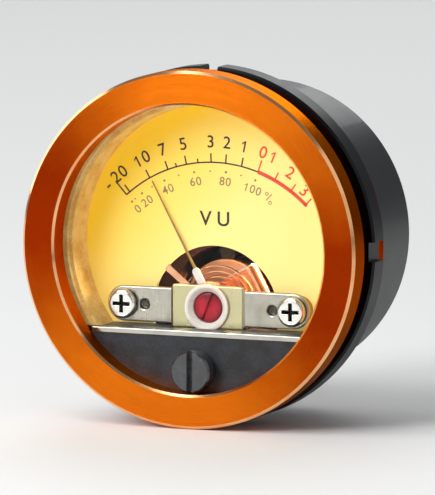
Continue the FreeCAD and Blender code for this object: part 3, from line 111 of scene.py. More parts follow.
# The pointer axis is the jewel screw's; the pointer stands left of upright at rest.
PIVOT: Point = span("front_jewel_screw").centre
REST_ANGLE = 28.5
ON_PIVOT = Matrix.Translation((PIVOT[0] * MM, 0, PIVOT[1] * MM))
AT_REST = ON_PIVOT @ Matrix.Rotation(-math.radians(REST_ANGLE), 4, "Y")


class Body(Enum):
    """The bodies of the frame."""

    METER = "meter"
    NUT = "clamp_nut"
    SCREW = "zero_screw"
    LEVER = "zero_lever"
    POINTER = "pointer"


# --- Node trees ---------------------------------------------------------------


def operator(operation: str, swapped: bool = False) -> Callable[[Value, Feed], Value]:
    """Method that adds a Math node for an operator, with the value first unless swapped."""
    def method(self: Value, other: Feed) -> Value:
        feeds = (other, self) if swapped else (self, other)
        return self.nodes.value("ShaderNodeMath", dict(enumerate(feeds)), operation=operation)
    return method


class Value:
    """An output of a node that stands for a number in Python expressions."""

    __add__, __radd__ = operator("ADD"), operator("ADD", swapped=True)
    __sub__, __rsub__ = operator("SUBTRACT"), operator("SUBTRACT", swapped=True)
    __mul__ = operator("MULTIPLY")

    def __init__(self, nodes: Nodes, socket: bpy.types.NodeSocket) -> None:
        """Keep the tree and the socket."""
        self.nodes = nodes
        self.socket = socket


Feed = Value | bpy.types.NodeSocket | float | Sequence[float]
Feeds = dict[str | int, Feed]


class Nodes:
    """A node tree that is written in Python, for shaders and for geometry."""

    def __init__(self, tree: bpy.types.NodeTree) -> None:
        """Keep the tree."""
        self.tree = tree

    def node(self, kind: str, feeds: Feeds | None = None, **settings: object) -> bpy.types.Node:
        """Add a node.

        Args:
            kind: Type of the node.
            feeds: Value or link for each input, by name or number.
            **settings: Its properties, which are set before its inputs.

        Returns:
            The new node.
        """
        node = self.tree.nodes.new(kind)
        for name, setting in settings.items():
            setattr(node, name, setting)
        for key, feed in (feeds or {}).items():
            socket = node.inputs[key]
            if isinstance(feed, Value):
                feed = feed.socket
            if isinstance(feed, bpy.types.NodeSocket):
                self.tree.links.new(feed, socket)
            else:
                socket.default_value = feed
        return node

    def value(self, kind: str, feeds: Feeds | None = None, output: str | int = 0,
              **settings: object) -> Value:
        """Add a node and take one of its outputs for Python expressions."""
        return Value(self, self.node(kind, feeds, **settings).outputs[output])


class Grain(Enum):
    """Which way a tool has left its marks, with how dense they are along x, y and z."""

    TURNED = None
    BRUSHED = (0.04, 1, 1)
    UPRIGHT = (1, 1, 0.06)
    PLAIN = (1, 1, 1)


class Noise(NamedTuple):
    """Smooth noise: lumps in a millimetre, number of finer layers and how strong these are."""

    scale: float
    layers: float = 2.0
    strength: float = 0.5


class Show(NamedTuple):
    """Where a pattern starts to show, where it shows in full, and its share then."""

    low: float
    high: float
    share: float = 1.0


class Shader(Nodes):
    """The nodes of one material, with the patterns that the finishes share."""

    mark_layers = 3.0

    def __init__(self, name: str) -> None:
        """Start an empty material."""
        self.material = bpy.data.materials.new(name)
        self.material.use_nodes = True
        super().__init__(self.material.node_tree)
        self.tree.nodes.clear()
        self._place: Value | None = None

    @property
    def place(self) -> Value:
        """Place on the object, in millimetres."""
        if self._place is None:
            coordinates = self.node("ShaderNodeTexCoord").outputs["Object"]
            self._place = self.scaled(coordinates, (1 / MM, 1 / MM, 1 / MM))
        return self._place

    def scaled(self, vector: Feed, factors: Sequence[float],
               shift: Sequence[float] = (0, 0, 0)) -> Value:
        """Shift a vector and then stretch it by a factor along each axis."""
        moved = self.value("ShaderNodeVectorMath", {0: vector, 1: shift}, operation="SUBTRACT")
        return self.value("ShaderNodeVectorMath", {0: moved, 1: factors}, operation="MULTIPLY")

    def length(self, vector: Feed) -> Value:
        """Length of a vector."""
        return self.value("ShaderNodeVectorMath", {0: vector}, "Value", operation="LENGTH")

    def along(self, vector: Feed, direction: Sequence[float]) -> Value:
        """How far a vector reaches along a direction."""
        return self.value("ShaderNodeVectorMath", {0: vector, 1: direction}, "Value",
                          operation="DOT_PRODUCT")

    def radius(self, centre: Point) -> Value:
        """Distance from an axis that runs along y, in millimetres."""
        return self.length(self.scaled(self.place, (1, 0, 1), (centre[0], 0, centre[1])))

    def noise(self, noise: Noise, vector: Feed | None = None) -> Value:
        """Read smooth noise of about 0 to 1, at the place on the object or at a vector."""
        return self.value("ShaderNodeTexNoise", {
            "Vector": vector or self.place,
            "Scale": noise.scale, "Detail": noise.layers, "Roughness": noise.strength})

    def marks(self, grain: Grain, pitch: float, centre: Point = (0, 0)) -> Value:
        """Height of tool marks, about 0 to 1.

        Args:
            grain: Which way the marks run.
            pitch: Their spacing in millimetres.
            centre: Axis of turned marks, across and up.

        Returns:
            The height.
        """
        if grain is Grain.TURNED:
            feeds = {"W": self.radius(centre), "Scale": 1 / pitch, "Detail": self.mark_layers}
            return self.value("ShaderNodeTexNoise", feeds, noise_dimensions="1D")
        return self.noise(Noise(1 / pitch, self.mark_layers), self.scaled(self.place, grain.value))

    def mix(self, factor: Feed, first: Value | str, second: Value | str) -> Value:
        """Blend two colours, each worked out by nodes or written as a screen colour."""
        first, second = (hex_colour(colour) if isinstance(colour, str) else colour
                         for colour in (first, second))
        return self.value("ShaderNodeMix", {0: factor, 6: first, 7: second}, 2, data_type="RGBA")

    def between(self, value: Feed, low: float, high: float) -> Value:
        """Turn a value that runs from low to high into one that runs from 0 to 1."""
        return self.value("ShaderNodeMapRange",
                          {"Value": value, "From Min": low, "From Max": high}, clamp=True)

    def show(self, pattern: Value, show: Show) -> Value:
        """How much of a pattern shows."""
        return self.between(pattern, show.low, show.high) * show.share

    def uneven(self, base: Value | float, *swings: tuple[Value, float]) -> Value:
        """Vary a number by patterns, each with the width of its swing."""
        for pattern, swing in swings:
            base = base + (pattern - 0.5) * swing
        return base

    def bump(self, height: Feed, depth: float) -> Value:
        """Normal of a surface whose height has the given depth in millimetres."""
        return self.value("ShaderNodeBump", {"Height": height, "Distance": depth * MM})

    def cover(self, surface: Value) -> bpy.types.Material:
        """Link a shader to the output and give the material."""
        self.node("ShaderNodeOutputMaterial", {"Surface": surface})
        return self.material

    def principled(self, feeds: Feeds) -> bpy.types.Material:
        """Cover the material with the main shader, fed with these values and links."""
        return self.cover(self.value("ShaderNodeBsdfPrincipled", feeds))


class Graph(Nodes):
    """A Geometry Nodes tree with named inputs."""

    def __init__(self, name: str) -> None:
        """Start a tree that takes and gives geometry."""
        super().__init__(bpy.data.node_groups.new(name, "GeometryNodeTree"))
        sockets = self.tree.interface
        sockets.new_socket("Geometry", in_out="INPUT", socket_type="NodeSocketGeometry")
        sockets.new_socket("Geometry", in_out="OUTPUT", socket_type="NodeSocketGeometry")
        self.entry = self.tree.nodes.new("NodeGroupInput")
        self.values: dict[str, float] = {}

    @property
    def geometry(self) -> bpy.types.NodeSocket:
        """The geometry that the tree starts from."""
        return self.entry.outputs["Geometry"]

    def size(self, name: str, value: float, whole: bool = False) -> bpy.types.NodeSocket:
        """Add a named input and note its value.

        Args:
            name: Name of the input.
            value: What the modifier sets it to.
            whole: Whether it is a whole number.

        Returns:
            The socket inside the tree.
        """
        kind = "NodeSocketInt" if whole else "NodeSocketFloat"
        self.tree.interface.new_socket(name, in_out="INPUT", socket_type=kind)
        self.values[name] = int(value) if whole else float(value)
        return self.entry.outputs[name]

    def attribute(self, name: str) -> Value:
        """Read a number that the points carry."""
        return self.value("GeometryNodeInputNamedAttribute", {"Name": name}, data_type="FLOAT")

    def vector(self, across: Feed = 0.0, back: Feed = 0.0, up: Feed = 0.0) -> Value:
        """Put a vector together."""
        return self.value("ShaderNodeCombineXYZ", {0: across, 1: back, 2: up})

    def run(self, base: bpy.types.Object, geometry: bpy.types.NodeSocket,
            material: bpy.types.Material) -> bpy.types.Object:
        """Realise the tree's result as the plain mesh of an object.

        Args:
            base: Object that carries the modifier.
            geometry: Socket with the tree's result.
            material: What the result is made of.

        Returns:
            The same object, with the result as its mesh.
        """
        real = self.node("GeometryNodeRealizeInstances", {"Geometry": geometry})
        dressed = self.node("GeometryNodeSetMaterial",
                            {"Geometry": real.outputs[0], "Material": material})
        self.node("NodeGroupOutput", {"Geometry": dressed.outputs[0]})
        modifier = base.modifiers.new(self.tree.name, "NODES")
        modifier.node_group = self.tree
        for item in self.tree.interface.items_tree:
            if item.in_out == "INPUT" and item.name in self.values:
                modifier[item.identifier] = self.values[item.name]
        return freeze(base)


# --- Finishes -----------------------------------------------------------------


# Near black, painted as shade in the holes and recesses of metal parts.
RECESS_SHADE = "0E0C09"


def hex_colour(code: str) -> Colour:
    """Linear colour of a screen colour such as "F08010"."""
    parts = (int(code[k:k + 2], 16) / 255 for k in (0, 2, 4))
    linear = (c / 12.92 if c <= 0.04045 else ((c + 0.055) / 1.055) ** 2.4 for c in parts)
    return (*linear, 1.0)


@dataclass(frozen=True)
class Finish:
    """What every finish has: a name, under which its material is made once.

    In each kind the fields differ from finish to finish. The values without a type are the same for
    the whole kind: its patterns, where they show, and how far they swing the roughness.
    """

    name: str

    @cache
    def material(self) -> bpy.types.Material:
        """Give the material, made at the first call."""
        return self.make(Shader(f"{self.name}_finish"))

    def make(self, shader: Shader) -> bpy.types.Material:
        """Write the nodes."""
        raise NotImplementedError


@dataclass(frozen=True)
class Metal(Finish):
    """Metal with tool marks, uneven polish and a little tarnish.

    It is painted towards near black deeper along y, over the places in "hollow", as painted shade
    in its holes and recesses, and has the colour of its heart nearer to the pointer axis than
    "heart_reach", measured across.
    """

    colour: str
    tarnish: str
    roughness: float = 0.28
    grain: Grain = Grain.PLAIN
    pitch: float = 0.12
    depth: float = 0.004
    centre: Point = (0.0, 0.0)
    coat: float = 0.0
    # Places along y over which the colour is painted towards near black, as painted shade.
    hollow: Point = (0.0, 0.0)
    heart: str = ""
    heart_reach: Point = (4.2, 4.5)
    patches = Noise(0.35, 4.0, 0.6)
    specks = Noise(9.0)
    stained, marked = Show(0.45, 0.8, 0.5), Show(0.3, 0.9, 0.25)
    patch_swing, mark_swing = 0.16, 0.12
    speck_height = 0.3
    coat_roughness = 0.12

    def make(self, shader: Shader) -> bpy.types.Material:
        """Write the nodes."""
        marks = shader.marks(self.grain, self.pitch, self.centre)
        patches, specks = shader.noise(self.patches), shader.noise(self.specks)
        stain = shader.show(patches, self.stained) + shader.show(marks, self.marked)
        colour = shader.mix(stain, self.colour, self.tarnish)
        if self.heart:
            across = shader.length(shader.scaled(shader.place, (1, 0, 0)))
            colour = shader.mix(shader.between(across, *self.heart_reach), self.heart, colour)
        # Painted shade: deeper along y, the colour turns towards near black.
        if self.hollow[1] > self.hollow[0]:
            depth = shader.along(shader.place, (0, 1, 0))
            colour = shader.mix(shader.between(depth, *self.hollow), colour, RECESS_SHADE)
        return shader.principled({
            "Base Color": colour,
            "Metallic": 1.0,
            "Roughness": shader.uneven(self.roughness, (patches, self.patch_swing),
                                       (marks, self.mark_swing)),
            "Coat Weight": self.coat,
            "Coat Roughness": self.coat_roughness,
            "Normal": shader.bump(marks + specks * self.speck_height, self.depth),
        })


@dataclass(frozen=True)
class Turned(Finish):
    """Anodised turned metal, painted darker at the two sides, as painted shade where its fine rings
    throw light away.
    """

    colour: str
    tarnish: str
    deep: str
    edge: str
    roughness: float = 0.24
    pitch: float = 0.05
    depth: float = 0.0012
    dark_way: Sequence[float] = (0.98, 0.0, -0.2)
    dark_reach: Point = (0.2, 0.95)
    dark_swing = 0.2
    patches = Noise(0.30, 3.0, 0.55)
    stained, ringed = Show(0.4, 0.8, 0.5), Show(0.2, 0.9, 0.3)
    patch_swing, ring_swing = 0.10, 0.14

    def make(self, shader: Shader) -> bpy.types.Material:
        """Write the nodes."""
        rings = shader.marks(Grain.TURNED, self.pitch)
        patches = shader.noise(self.patches)
        # Painted shade: towards the left and right of the ring the colour turns to its darker side
        # colour.
        outwards = shader.value("ShaderNodeVectorMath", {0: shader.scaled(shader.place, (1, 0, 1))},
                                operation="NORMALIZE")
        across = shader.along(outwards, self.dark_way)
        side = shader.between(shader.uneven(across * across, (patches, self.dark_swing)),
                              *self.dark_reach)
        stain = shader.show(patches, self.stained) + shader.show(rings, self.ringed)
        return shader.principled({
            "Base Color": shader.mix(side, shader.mix(stain, self.colour, self.tarnish), self.deep),
            "Metallic": 1.0,
            "Specular Tint": hex_colour(self.edge),
            "Roughness": shader.uneven(self.roughness, (patches, self.patch_swing),
                                       (rings, self.ring_swing)),
            "Normal": shader.bump(rings, self.depth),
        })


@dataclass(frozen=True)
class Plastic(Finish):
    """Moulded or painted surface with a fine grain, mottling and a soft sheen.

    Over the radii in "rim", taken from the pointer axis, it is painted in its second colour, as
    painted shade round the edge of a round head. A glow, where it has one, is painted light.
    """

    colour: str
    mottle: str
    roughness: float = 0.42
    grain_pitch: float = 0.09
    depth: float = 0.006
    coat: float = 0.0
    subsurface: float = 0.0
    sheen: float = 0.0
    glow: float = 0.0
    # Radii round the pointer axis over which the colour is painted darker, as painted shade.
    rim: Point = (0.0, 0.0)
    specular: float = 0.5
    grain_layers, grain_strength = 3.0, 0.6
    clouds = Noise(0.5, 4.0, 0.55)
    mottled = Show(0.35, 0.75)
    mottle_swing = 0.6
    cloud_swing, grain_swing = 0.14, 0.10
    coat_roughness = 0.08
    scatter = (1.0, 0.7, 0.5)

    def make(self, shader: Shader) -> bpy.types.Material:
        """Write the nodes."""
        grain = shader.noise(Noise(1 / self.grain_pitch, self.grain_layers, self.grain_strength))
        cloud = shader.noise(self.clouds)
        cover = shader.show(shader.uneven(cloud, (grain, self.mottle_swing)), self.mottled)
        colour = shader.mix(cover, self.colour, self.mottle)
        # Painted shade: towards the rim of a round head the colour turns to the second colour.
        if self.rim[1] > self.rim[0]:
            edge = shader.between(shader.radius(PIVOT), *self.rim)
            colour = shader.mix(edge, colour, self.mottle)
        return shader.principled({
            "Base Color": colour,
            "Roughness": shader.uneven(self.roughness, (cloud, self.cloud_swing),
                                       (grain, self.grain_swing)),
            "Coat Weight": self.coat,
            "Coat Roughness": self.coat_roughness,
            "Specular IOR Level": self.specular,
            "Subsurface Weight": self.subsurface,
            "Subsurface Radius": self.scatter,
            "Subsurface Scale": MM,
            "Sheen Weight": self.sheen,
            "Emission Color": colour,
            "Emission Strength": self.glow,
            "Normal": shader.bump(grain, self.depth),
        })


@dataclass(frozen=True)
class ClearSheet(Finish):
    """Clear polished acrylic: it lets light through and only its gloss shows."""

    gloss: float = 0.12
    refraction: float = 1.49
    smears = Noise(0.25, 3.0)
    polish, smear_swing = 0.03, 0.05
    tint = (0.985, 0.99, 0.985, 1.0)
    white = (1.0, 1.0, 1.0, 1.0)

    def make(self, shader: Shader) -> bpy.types.Material:
        """Write the nodes."""
        roughness = self.polish + shader.noise(self.smears) * self.smear_swing
        through = shader.value("ShaderNodeBsdfTransparent", {"Color": self.tint})
        shine = shader.value("ShaderNodeBsdfGlossy",
                             {"Color": self.white, "Roughness": roughness})
        fresnel = shader.value("ShaderNodeFresnel", {"IOR": self.refraction})
        return shader.cover(shader.value("ShaderNodeMixShader", {
            0: fresnel * self.gloss, 1: through, 2: shine}))


@dataclass(frozen=True)
class LitPaint(Finish):
    """Translucent printed sheet with a lamp behind it.

    Its glow is painted light for the lamp's light coming through, and its colour and glow are
    painted dimmer and more orange towards the upper left and towards the rim, as painted falloff of
    that light.
    """

    bright: str
    warm: str
    glow: float
    warm_way: Sequence[float] = (-0.72, 0.0, 0.72)
    warm_reach: Point = (0.5, 14.0)
    rim: Point = (12.5, 17.0)
    rim_share: float = 0.25
    roughness: float = 0.5
    specular: float = 0.15
    depth: float = 0.004
    papers, clouds = Noise(6.0, 4.0, 0.6), Noise(0.12)
    flecks, fleck_swing = 0.06, 0.12
    paper_swing, cloud_swing = 0.1, 4.0

    def make(self, shader: Shader) -> bpy.types.Material:
        """Write the nodes."""
        paper, cloud = shader.noise(self.papers), shader.noise(self.clouds)
        # Painted light: the lamp's light is painted weaker towards the upper left and towards the
        # rim.
        slope = shader.uneven(shader.along(shader.place, self.warm_way), (cloud, self.cloud_swing))
        edge = shader.between(shader.radius((0, 0)), *self.rim)
        light_falloff = shader.between(slope, *self.warm_reach) + edge * self.rim_share
        colour = shader.mix(light_falloff, self.bright, self.warm)
        lit = shader.mix(shader.uneven(self.flecks, (paper, self.fleck_swing)), colour, self.warm)
        return shader.principled({
            "Base Color": lit,
            "Roughness": shader.uneven(self.roughness, (paper, self.paper_swing)),
            "Specular IOR Level": self.specular,
            "Emission Color": lit,
            "Emission Strength": self.glow,
            "Normal": shader.bump(paper, self.depth),
        })


@dataclass(frozen=True)
class Ink(Finish):
    """Printed ink, thin in places. A glow, where it has one, is painted light."""

    colour: str
    thin: str
    glow: float = 0.0
    roughness: float = 0.45
    depth: float = 0.002
    covers = Noise(7.0, 3.0, 0.6)
    thinned = Show(0.35, 0.85)
    swing = 0.2

    def make(self, shader: Shader) -> bpy.types.Material:
        """Write the nodes."""
        cover = shader.noise(self.covers)
        colour = shader.mix(shader.show(cover, self.thinned), self.colour, self.thin)
        return shader.principled({
            "Base Color": colour,
            "Roughness": shader.uneven(self.roughness, (cover, self.swing)),
            "Emission Color": colour,
            "Emission Strength": self.glow,
            "Normal": shader.bump(cover, self.depth),
        })


@dataclass(frozen=True)
class Lamp(Finish):
    """A lit diode: an uneven layer of phosphor that glows between two colours."""

    colour: str
    hot: str
    glow: float
    roughness: float = 0.4
    depth: float = 0.01
    grains = Noise(12.0)
    swing = 0.2

    def make(self, shader: Shader) -> bpy.types.Material:
        """Write the nodes."""
        phosphor = shader.noise(self.grains)
        colour = shader.mix(phosphor, self.colour, self.hot)
        return shader.principled({
            "Base Color": colour,
            "Roughness": shader.uneven(self.roughness, (phosphor, self.swing)),
            "Emission Color": colour,
            "Emission Strength": self.glow,
            "Normal": shader.bump(phosphor, self.depth),
        })


# Its third colour, 922A02, is the painted shade at the two sides of the ring.
ORANGE = Turned("orange_anodised", "E87614", "D8640C", "922A02", edge="FFD0A8")
POLISHED_EDGE = Metal("polished_orange_edge", "FFC48C", "F09450", 0.16, Grain.TURNED, 0.05, 0.0006)
BLACK_ANODISED = Metal("black_anodised", "2B2B2D", "1C1C1E", 0.34, Grain.TURNED, 0.12, 0.003)
BRIGHT = Metal("bright_strip", "BAB8AF", "8E8B82", 0.18, Grain.BRUSHED, 0.10, 0.0014)
TINNED = Metal("tinned_tag", "D9DAD6", "B9BAB4", 0.34, Grain.PLAIN, 0.4, 0.006)
# Deeper along y the bridge is painted in shade, in its holes and at its back.
NICKEL = Metal("brushed_nickel", "C4BEB2", "756F64", 0.30, Grain.UPRIGHT, 0.16, 0.006,
               hollow=(3.15, 3.5), heart="D2C99E")
STEEL = Metal("plated_steel", "E4E2DC", "C2BEB4", 0.18, Grain.PLAIN, 0.3, 0.0015)
# Deeper along y the screw heads are painted in shade, in their recesses.
SCREW_STEEL = Metal("screw_head", "F2F0EA", "D2CEC4", 0.20, Grain.PLAIN, 0.3, 0.0015,
                    hollow=(2.25, 2.75))
DARK_STEEL = Metal("spring_steel", "6A6864", "45423F", 0.34, Grain.PLAIN, 0.3, 0.003)
BRASS = Metal("machined_brass", "D9B465", "A67F3B", 0.28, Grain.PLAIN, 0.15, 0.003)
BRONZE = Metal("bronze_strip", "ECB48C", "C47C54", 0.24, Grain.PLAIN, 0.12, 0.001)
COPPER = Metal("enamelled_copper", "F29460", "C0583A", 0.24, Grain.PLAIN, 0.25, 0.001, coat=0.6)
ALUMINIUM = Metal("bare_aluminium", "D6D6D4", "B4B4B2", 0.32, Grain.BRUSHED, 0.08, 0.002)
MAGNET = Metal("plated_magnet", "CE9A78", "6E4636", 0.48, Grain.TURNED, 0.2, 0.010, PIVOT)
BLACK_MOULDING = Plastic("black_moulding", "090B0E", "262B33", 0.44, 0.22, 0.030, sheen=0.08)
BLACK_GLOSS = Plastic("black_screw", "1E2022", "3A3D42", 0.22, 0.7, 0.014, coat=0.8)
BLACK_CASE = Plastic("black_case", "141416", "232326", 0.38, 0.22, 0.022, coat=0.15)
BLACK_FRAME = Plastic("black_frame", "150F0E", "221A18", 0.55, 0.12, 0.010, specular=0.25)
# Its dark maroon is painted warm shade, as on iron deep in the case.
IRON_IN_PAINTED_SHADE = Plastic("iron_in_painted_shade", "3C140C", "200A06", 0.55, 0.20, 0.010, specular=0.25)
# The reflector's glow is painted light, as from the lamps behind the dial.
CREAM = Plastic("cream_moulding", "F8D890", "DAA248", 0.42, 0.20, 0.004, subsurface=0.15,
                glow=0.08)
WHITE_NYLON = Plastic("white_nylon", "F6EFE8", "EADFD2", 0.34, 0.25, 0.004, coat=0.3,
                      subsurface=0.2)
WHITE_PAINT = Plastic("white_paint", "F2F0EC", "E2DED6", 0.40, 0.08, 0.003)
OPAL = Plastic("opal_acrylic", "F5F1E6", "EAE3D2", 0.30, 0.30, 0.002, subsurface=0.6)
BOARD = Plastic("white_solder_mask", "E4E6E2", "D4D7D2", 0.35, 0.18, 0.004, coat=0.3)
# The jewel's darker rim is painted shade round the edge of its head.
RED_JEWEL = Plastic("red_lacquer", "DC1434", "6A0412", 0.26, 0.70, 0.016, rim=(0.9, 1.8),
                    specular=0.3)
FLOOR_PAPER = Plastic("floor_paper", "EFEFED", "EFEFED", 0.7, 2.0, 0.01)
POINTER_PAINT = Ink("pointer_paint", "94742A", "B08E38")
BLACK_INK = Ink("black_ink", "1E1A14", "3A3222")
# The grey and red inks glow: painted light, for the lamps' light coming through the dial under
# them.
GREY_INK = Ink("grey_ink", "8A7A50", "A8965E", 0.1)
RED_INK = Ink("red_ink", "D6301A", "E85A34", 0.25)
# The dial's glow and its falloff are painted light from the lamps behind it.
DIAL = LitPaint("lit_dial", "F6E090", "F6C91E", 0.325)
CLEAR = ClearSheet("clear_acrylic")
LED = Lamp("lit_diode", "FFD36A", "FFF2C0", 1.5)


# --- Meshes -------------------------------------------------------------------

WELD = 1e-5  # millimetres within which vertices of a new mesh are one
NODE_WELD = 1e-4  # millimetres within which vertices of the frame's meshes are one
RUNS_PER_GROOVE = 4  # straight runs across one turned groove
ARC_RUN = 1.5  # degrees of an arc that one straight run takes
CREASE = 35.0  # degrees past which an edge is shaded as a crease
SHARP_EDGE = 38.0  # degrees past which an edge is rounded
EDGE_FACES = 2  # faces across a rounded edge
FLAT_ENOUGH = 0.4  # degrees up to which triangles are merged into one face


def new_object(name: str, data: bpy.types.ID) -> bpy.types.Object:
    """Put a mesh, a curve, a light or a camera into the scene as an object at the origin."""
    piece = bpy.data.objects.new(name, data)
    bpy.context.scene.collection.objects.link(piece)
    return piece


def points_with(name: str, places: Sequence[Sequence[float]],
                **numbers: Sequence[float]) -> bpy.types.Object:
    """Make points that carry numbers, for a Geometry Nodes tree to read.

    Args:
        name: Name of the object.
        places: The points, in metres.
        **numbers: One number for each point, under the name that the tree reads.

    Returns:
        The object.
    """
    mesh = bpy.data.meshes.new(name)
    mesh.from_pydata(places, [], [])
    for key, column in numbers.items():
        mesh.attributes.new(key, "FLOAT", "POINT").data.foreach_set("value", column)
    return new_object(name, mesh)


def as_mesh(work: bmesh.types.BMesh, name: str) -> bpy.types.Mesh:
    """Turn a mesh in the making into a mesh of Blender's."""
    mesh = bpy.data.meshes.new(name)
    work.to_mesh(mesh)
    work.free()
    return mesh


def joined(name: str, parts: Sequence[bpy.types.Object], merge: float = 0.0) -> bpy.types.Object:
    """Join objects of one material into one piece.

    Args:
        name: Name of the piece.
        parts: The objects, which are deleted.
        merge: Distance within which their vertices are merged, in millimetres.

    Returns:
        The piece.
    """
    material = parts[0].data.materials[0]
    work = bmesh.new()
    for part in parts:
        work.from_mesh(part.data)
        bpy.data.objects.remove(part)
    if merge:
        bmesh.ops.remove_doubles(work, verts=work.verts, dist=merge * MM)
    mesh = as_mesh(work, name)
    mesh.materials.append(material)
    return new_object(name, mesh)


def freeze(piece: bpy.types.Object) -> bpy.types.Object:
    """Turn an object's modifiers into plain mesh."""
    bpy.context.view_layer.update()
    evaluated = piece.evaluated_get(bpy.context.evaluated_depsgraph_get())
    mesh = bpy.data.meshes.new_from_object(evaluated)
    piece.modifiers.clear()
    piece.data = mesh
    mesh.name = piece.name
    return piece


def smooth(piece: bpy.types.Object, angle: float = CREASE) -> bpy.types.Object:
    """Shade an object smooth, with creases where its faces turn by more than an angle."""
    mesh = piece.data
    mesh.polygons.foreach_set("use_smooth", [True] * len(mesh.polygons))
    mesh.set_sharp_from_angle(angle=math.radians(angle))
    return piece


def rounded_box(half_width: float, half_depth: float, radius: float, steps: int) -> list[Point]:
    """Outline of a rectangle with rounded corners.

    Args:
        half_width: Half of its width.
        half_depth: Half of its depth.
        radius: How far each curve starts before its corner, at most half of the shorter side.
        steps: Straight runs in each curve.

    Returns:
        The points of the outline.
    """
    corners = [Vector((x * half_width, y * half_depth))
               for x, y in ((-1, -1), (1, -1), (1, 1), (-1, 1))]
    points = []
    for index, here in enumerate(corners):
        ends = []
        for other in (corners[index - 1], corners[(index + 1) % len(corners)]):
            away = other - here
            ends.append(here + away.normalized() * min(radius, away.length / 2))
        for step in range(steps + 1):
            t = step / steps
            point = ends[0] * (1 - t) ** 2 + here * (2 * t * (1 - t)) + ends[1] * t ** 2
            points.append((point.x, point.y))
    return points


def grooved(inner: float, outer: float, face: float, pitch: float, depth: float) -> list[Point]:
    """Profile of a turned face: shallow round grooves from one radius to another.

    Args:
        inner: Radius where the face starts.
        outer: Radius where it ends.
        face: Its place along y.
        pitch: Spacing of the grooves.
        depth: How deep they are cut.

    Returns:
        Points of radius and y.
    """
    count = round((outer - inner) / pitch)
    runs = count * RUNS_PER_GROOVE
    points = []
    for step in range(runs + 1):
        share = step / runs
        cut = (1 - math.cos(math.tau * share * count)) / 2 * depth
        points.append((inner + (outer - inner) * share, face + cut))
    return points


@dataclass(frozen=True)
class Thread:
    """A screw thread round an axis along y, with flat crests and a run-out at each end.

    Its profile rises with "steepness" from a flat root to a flat crest.
    """

    radius: float
    depth: float
    pitch: float
    front: float
    back: float
    inside: bool = False
    steepness: float = 1.3
    flat: float = 0.15
    rows_per_turn: int = 10

    def surface(self, turn: float, along: float) -> float:
        """Radius of the thread at a share of a turn and a place along y."""
        phase = (along / self.pitch - turn) % 1.0
        crest = min(max(self.steepness * abs(2 * phase - 1) - self.flat, 0.0), 1.0)
        runout = min((along - self.front) / self.pitch, (self.back - along) / self.pitch, 1.0)
        cut = self.depth * (1 - crest) * max(runout, 0.0)
        return self.radius + cut if self.inside else self.radius - cut

    @property
    def rows(self) -> list[float]:
        """Places along y of the thread's rows of points."""
        count = round((self.back - self.front) / self.pitch * self.rows_per_turn)
        return [self.front + (self.back - self.front) * k / count for k in range(count + 1)]


def polar(centre: Point, radius: float, turn: float) -> Point:
    """Point at a radius and an angle off vertical, in radians."""
    return centre[0] + radius * math.sin(turn), centre[1] + radius * math.cos(turn)


class Shape:
    """A mesh in the making, in millimetres."""

    def __init__(self, name: str, *finishes: Finish, steps: int = 192) -> None:
        """Start an empty mesh.

        Args:
            name: Name of the piece.
            finishes: What it is made of.
            steps: Faces round a full turn.
        """
        self.name = name
        self.finishes = finishes
        self.steps = steps
        self.work = bmesh.new()

    def add(self, points: Iterable[Sequence[float]]) -> list[bmesh.types.BMVert]:
        """Add vertices."""
        return [self.work.verts.new(point) for point in points]

    def skin(self, rows: Sequence[Sequence[bmesh.types.BMVert]], finish: int = 0) -> None:
        """Join rows of vertices, each a ring or one vertex on an axis, into faces."""
        for first, second in zip(rows, rows[1:]):
            count = max(len(first), len(second))
            for k in range(count):
                following = (k + 1) % count
                corners = [first[k % len(first)], first[following % len(first)],
                           second[following % len(second)], second[k % len(second)]]
                face = self.work.faces.new(list(dict.fromkeys(corners)))
                face.material_index = finish

    def ring(self, radii: Sequence[float], along: float, axis: Point) -> list[bmesh.types.BMVert]:
        """Add a ring of vertices, one for each radius."""
        places = (polar(axis, radius, math.tau * k / len(radii)) for k, radius in enumerate(radii))
        return self.add((x, along, z) for x, z in places)

    def turn(self, profile: Sequence[Point], axis: Point = (0, 0), finish: int = 0) -> Shape:
        """Turn a profile of (radius, y) points round an axis along y."""
        self.skin([self.ring([radius] * (self.steps if radius > 0 else 1), along, axis)
                   for radius, along in profile], finish)
        return self

    def screw(self, thread: Thread, axis: Point = (0, 0)) -> Shape:
        """Add a thread round an axis along y."""
        shares = [k / self.steps for k in range(self.steps)]
        self.skin([self.ring([thread.surface(share, along) for share in shares], along, axis)
                   for along in thread.rows])
        return self

    def prism(self, outline: Sequence[Point], front: float, back: float) -> Shape:
        """Stretch a closed outline of (x, z) points from one place along y to another."""
        rows = [self.add((x, along, z) for x, z in outline) for along in (front, back)]
        self.skin(rows)
        for row in rows:
            self.work.faces.new(row)
        return self

    def band(self, radii: Point, turns: Point, front: float, back: float) -> Shape:
        """Add a flat arc round the pointer axis.

        Args:
            radii: Inner and outer radius.
            turns: Its two ends, in degrees off vertical.
            front: Place of its face along y.
            back: Place of its back.

        Returns:
            This shape.
        """
        start, end = turns
        count = round((end - start) / ARC_RUN)
        angles = [math.radians(start + (end - start) * k / count) for k in range(count + 1)]
        inner, outer = ([polar(PIVOT, radius, angle) for angle in angles] for radius in radii)
        return self.prism(outer + inner[::-1], front, back)

    def piece(self, crease: float = CREASE) -> bpy.types.Object:
        """Close the mesh and give its object, in metres and shaded smooth up to an angle."""
        bmesh.ops.remove_doubles(self.work, verts=self.work.verts, dist=WELD)
        bmesh.ops.recalc_face_normals(self.work, faces=self.work.faces)
        bmesh.ops.scale(self.work, vec=(MM, MM, MM), verts=self.work.verts)
        piece = new_object(self.name, as_mesh(self.work, self.name))
        for finish in self.finishes:
            piece.data.materials.append(finish.material())
        return smooth(piece, crease)


